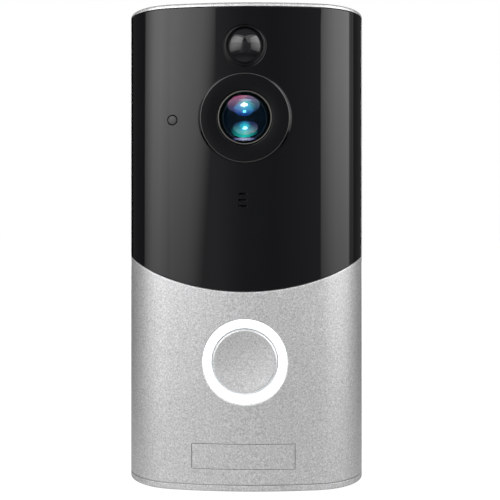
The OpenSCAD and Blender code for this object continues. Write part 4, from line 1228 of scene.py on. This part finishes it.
softbox(
    "softbox_left", -LEFT_MIDDLE, LEFT_HALF, 0, 0.8, 2.0, 3.4,
    [(share(-a, -LEFT_MIDDLE, LEFT_HALF), v) for a, v in LEFT_FADE], RISE, skew=0.53,
)
softbox(
    "softbox_right", RIGHT_MIDDLE, RIGHT_HALF, 0, 0.8, 2.0, 3.4,
    [(share(a, RIGHT_MIDDLE, RIGHT_HALF), v) for a, v in RIGHT_FADE], RISE,
)
softbox(
    "front_dim", 0, FRONT_HALF, 0, 1.5, 1.6, 0.3, [(share(a, 0, FRONT_HALF), v) for a, v in FRONT_FADE],
)
softbox("side_dim", -112, 24, 0, 1.0, 1.6, 0.06)
softbox("side_dim", 126, 18, 0, 1.0, 1.6, 0.09)
for side in (-1, 1):
    softbox("top_light", side * 42, 26, 42, 1.2, 0.73, 1.4)
softbox("front_fill", -22, 20, 12, 1.4, 1.0, 4.5, glossy=False)
softbox("back_fill", 180, 30, 25, 1.4, 1.0, 5.0, glossy=False)

# ---------- the cover's own lamps

# the studio's lights leave the cover alone, and the lamps below light nothing else
studio = [obj for obj in bpy.context.scene.objects if obj.type == "LIGHT"]
off_cover = bpy.data.collections.new("off_cover")
off_cover.objects.link(cover)
off_cover.collection_objects[0].light_linking.link_state = "EXCLUDE"
for light in studio:
    light.light_linking.receiver_collection = off_cover
on_cover = bpy.data.collections.new("on_cover")
on_cover.objects.link(cover)
LAMP_AWAY = 0.2


def cover_lamp(name, x, z, w, h, radiance, across=(), along=()):
    """An oval lamp that the domed cover mirrors x, z mm from its middle, with half axes w and h mm."""
    out = COVER_BALL**2 - x * x - z * z
    normal = Vector((x, -math.sqrt(out), z)) / COVER_BALL
    at = Vector((CAM[0] + x, COVER_RIM, CAM[2] + z)) * MM
    view = (at - camera.location).normalized()
    away = view - 2 * view.dot(normal) * normal
    data = bpy.data.lights.new(name, "AREA")
    data.shape = "ELLIPSE"
    data.size = 2 * LAMP_AWAY * math.tan(2 * w / COVER_BALL)
    data.size_y = 2 * LAMP_AWAY * math.tan(2 * h / COVER_BALL)
    data.energy = radiance * math.pi * data.size * data.size_y * math.pi / 4
    fade(data, across, along)
    light = hang(name, data, at + away * LAMP_AWAY, away)
    light.light_linking.receiver_collection = on_cover


WHITE = [(0.0, 1.0), (1.0, 1.0)]
cover_lamp(
    "lamp_over", -0.3, 3.4, 4.5, 2.7, 5.2,
    [(0.0, (0.75, 0.4, 0.6)), (0.38, (0.9, 0.55, 0.85)), (0.5, (1.0, 1.0, 1.0)), (0.62, (0.5, 0.65, 0.85)),
     (1.0, (0.3, 0.45, 0.6))],
    [(0.0, (0.04, 0.08, 0.3)), (0.35, (0.16, 0.24, 0.36)), (0.7, (0.6, 0.55, 0.6)),
     (1.0, (1.0, 0.25, 0.45))],
)
cover_lamp("spot_over", -0.15, 3.2, 0.95, 0.58, 20.0, WHITE)
cover_lamp(
    "lamp_under", -0.1, -3.5, 3.8, 1.9, 7.5,
    [(0.0, (0.0, 0.05, 0.06)), (0.5, (0.08, 0.9, 0.8)), (1.0, (0.0, 0.05, 0.06))],
    [(0.0, (0.25, 1.0, 0.95)), (0.5, (0.2, 0.7, 0.65)), (1.0, (0.0, 0.04, 0.05))],
)
cover_lamp(
    "strip_under", -0.1, -5.6, 3.2, 0.4, 8.0,
    [(0.0, (0.0, 0.0, 0.15)), (0.5, (0.6, 0.65, 1.0)), (1.0, (0.0, 0.0, 0.15))],
)

# ---------- floor


def stage_sheet(name, material_name, points, sockets, glow, hidden_from):
    """A level sheet lit by its own emission; glow gives the strength by distance from the middle in m."""
    material, tree, shader = new_material(material_name)
    for key, value in sockets.items():
        shader.inputs[key].default_value = value
    shader.inputs["Emission Color"].default_value = (1, 1, 1, 1)
    place = add(tree, "ShaderNodeTexCoord").outputs["Object"]
    far = add(tree, "ShaderNodeVectorMath", {"operation": "LENGTH"}, _0=place).outputs["Value"]
    feed(tree, shader, "Emission Strength", far, glow)
    mesh = bpy.data.meshes.new(name)
    mesh.from_pydata(points, [], [tuple(range(len(points)))])
    mesh.materials.append(material)
    obj = linked(name, mesh)
    for ray in hidden_from:
        setattr(obj, "visible_" + ray, False)


FLOOR_R = 6.0
FLOOR_Z = cad_low[2] - 0.0004
CARD_R = 0.3
CARD_Z = cad_low[2] - 0.0002
CORNERS = [(-1, -1), (1, -1), (1, 1), (-1, 1)]
stage_sheet(
    "floor", "floor_white", [(x * FLOOR_R, y * FLOOR_R, FLOOR_Z) for x, y in CORNERS],
    {"Base Color": (0.6, 0.6, 0.6, 1), "Roughness": 0.9},
    [(0.15, 0.82), (0.6, 1.0)], ["glossy", "diffuse", "transmission"],
)
# the light a pale floor throws up: a bright disc on the floor, fading out, that only reflections see
stage_sheet(
    "floor_card", "floor_card", [(*p, CARD_Z) for p in plan_circle(0, 0, CARD_R, 48)],
    {"Base Color": (0, 0, 0, 1), "Specular IOR Level": 0.0},
    [(0.05, 0.5), (0.2, 0.0)], ["camera", "diffuse", "shadow", "transmission"],
)
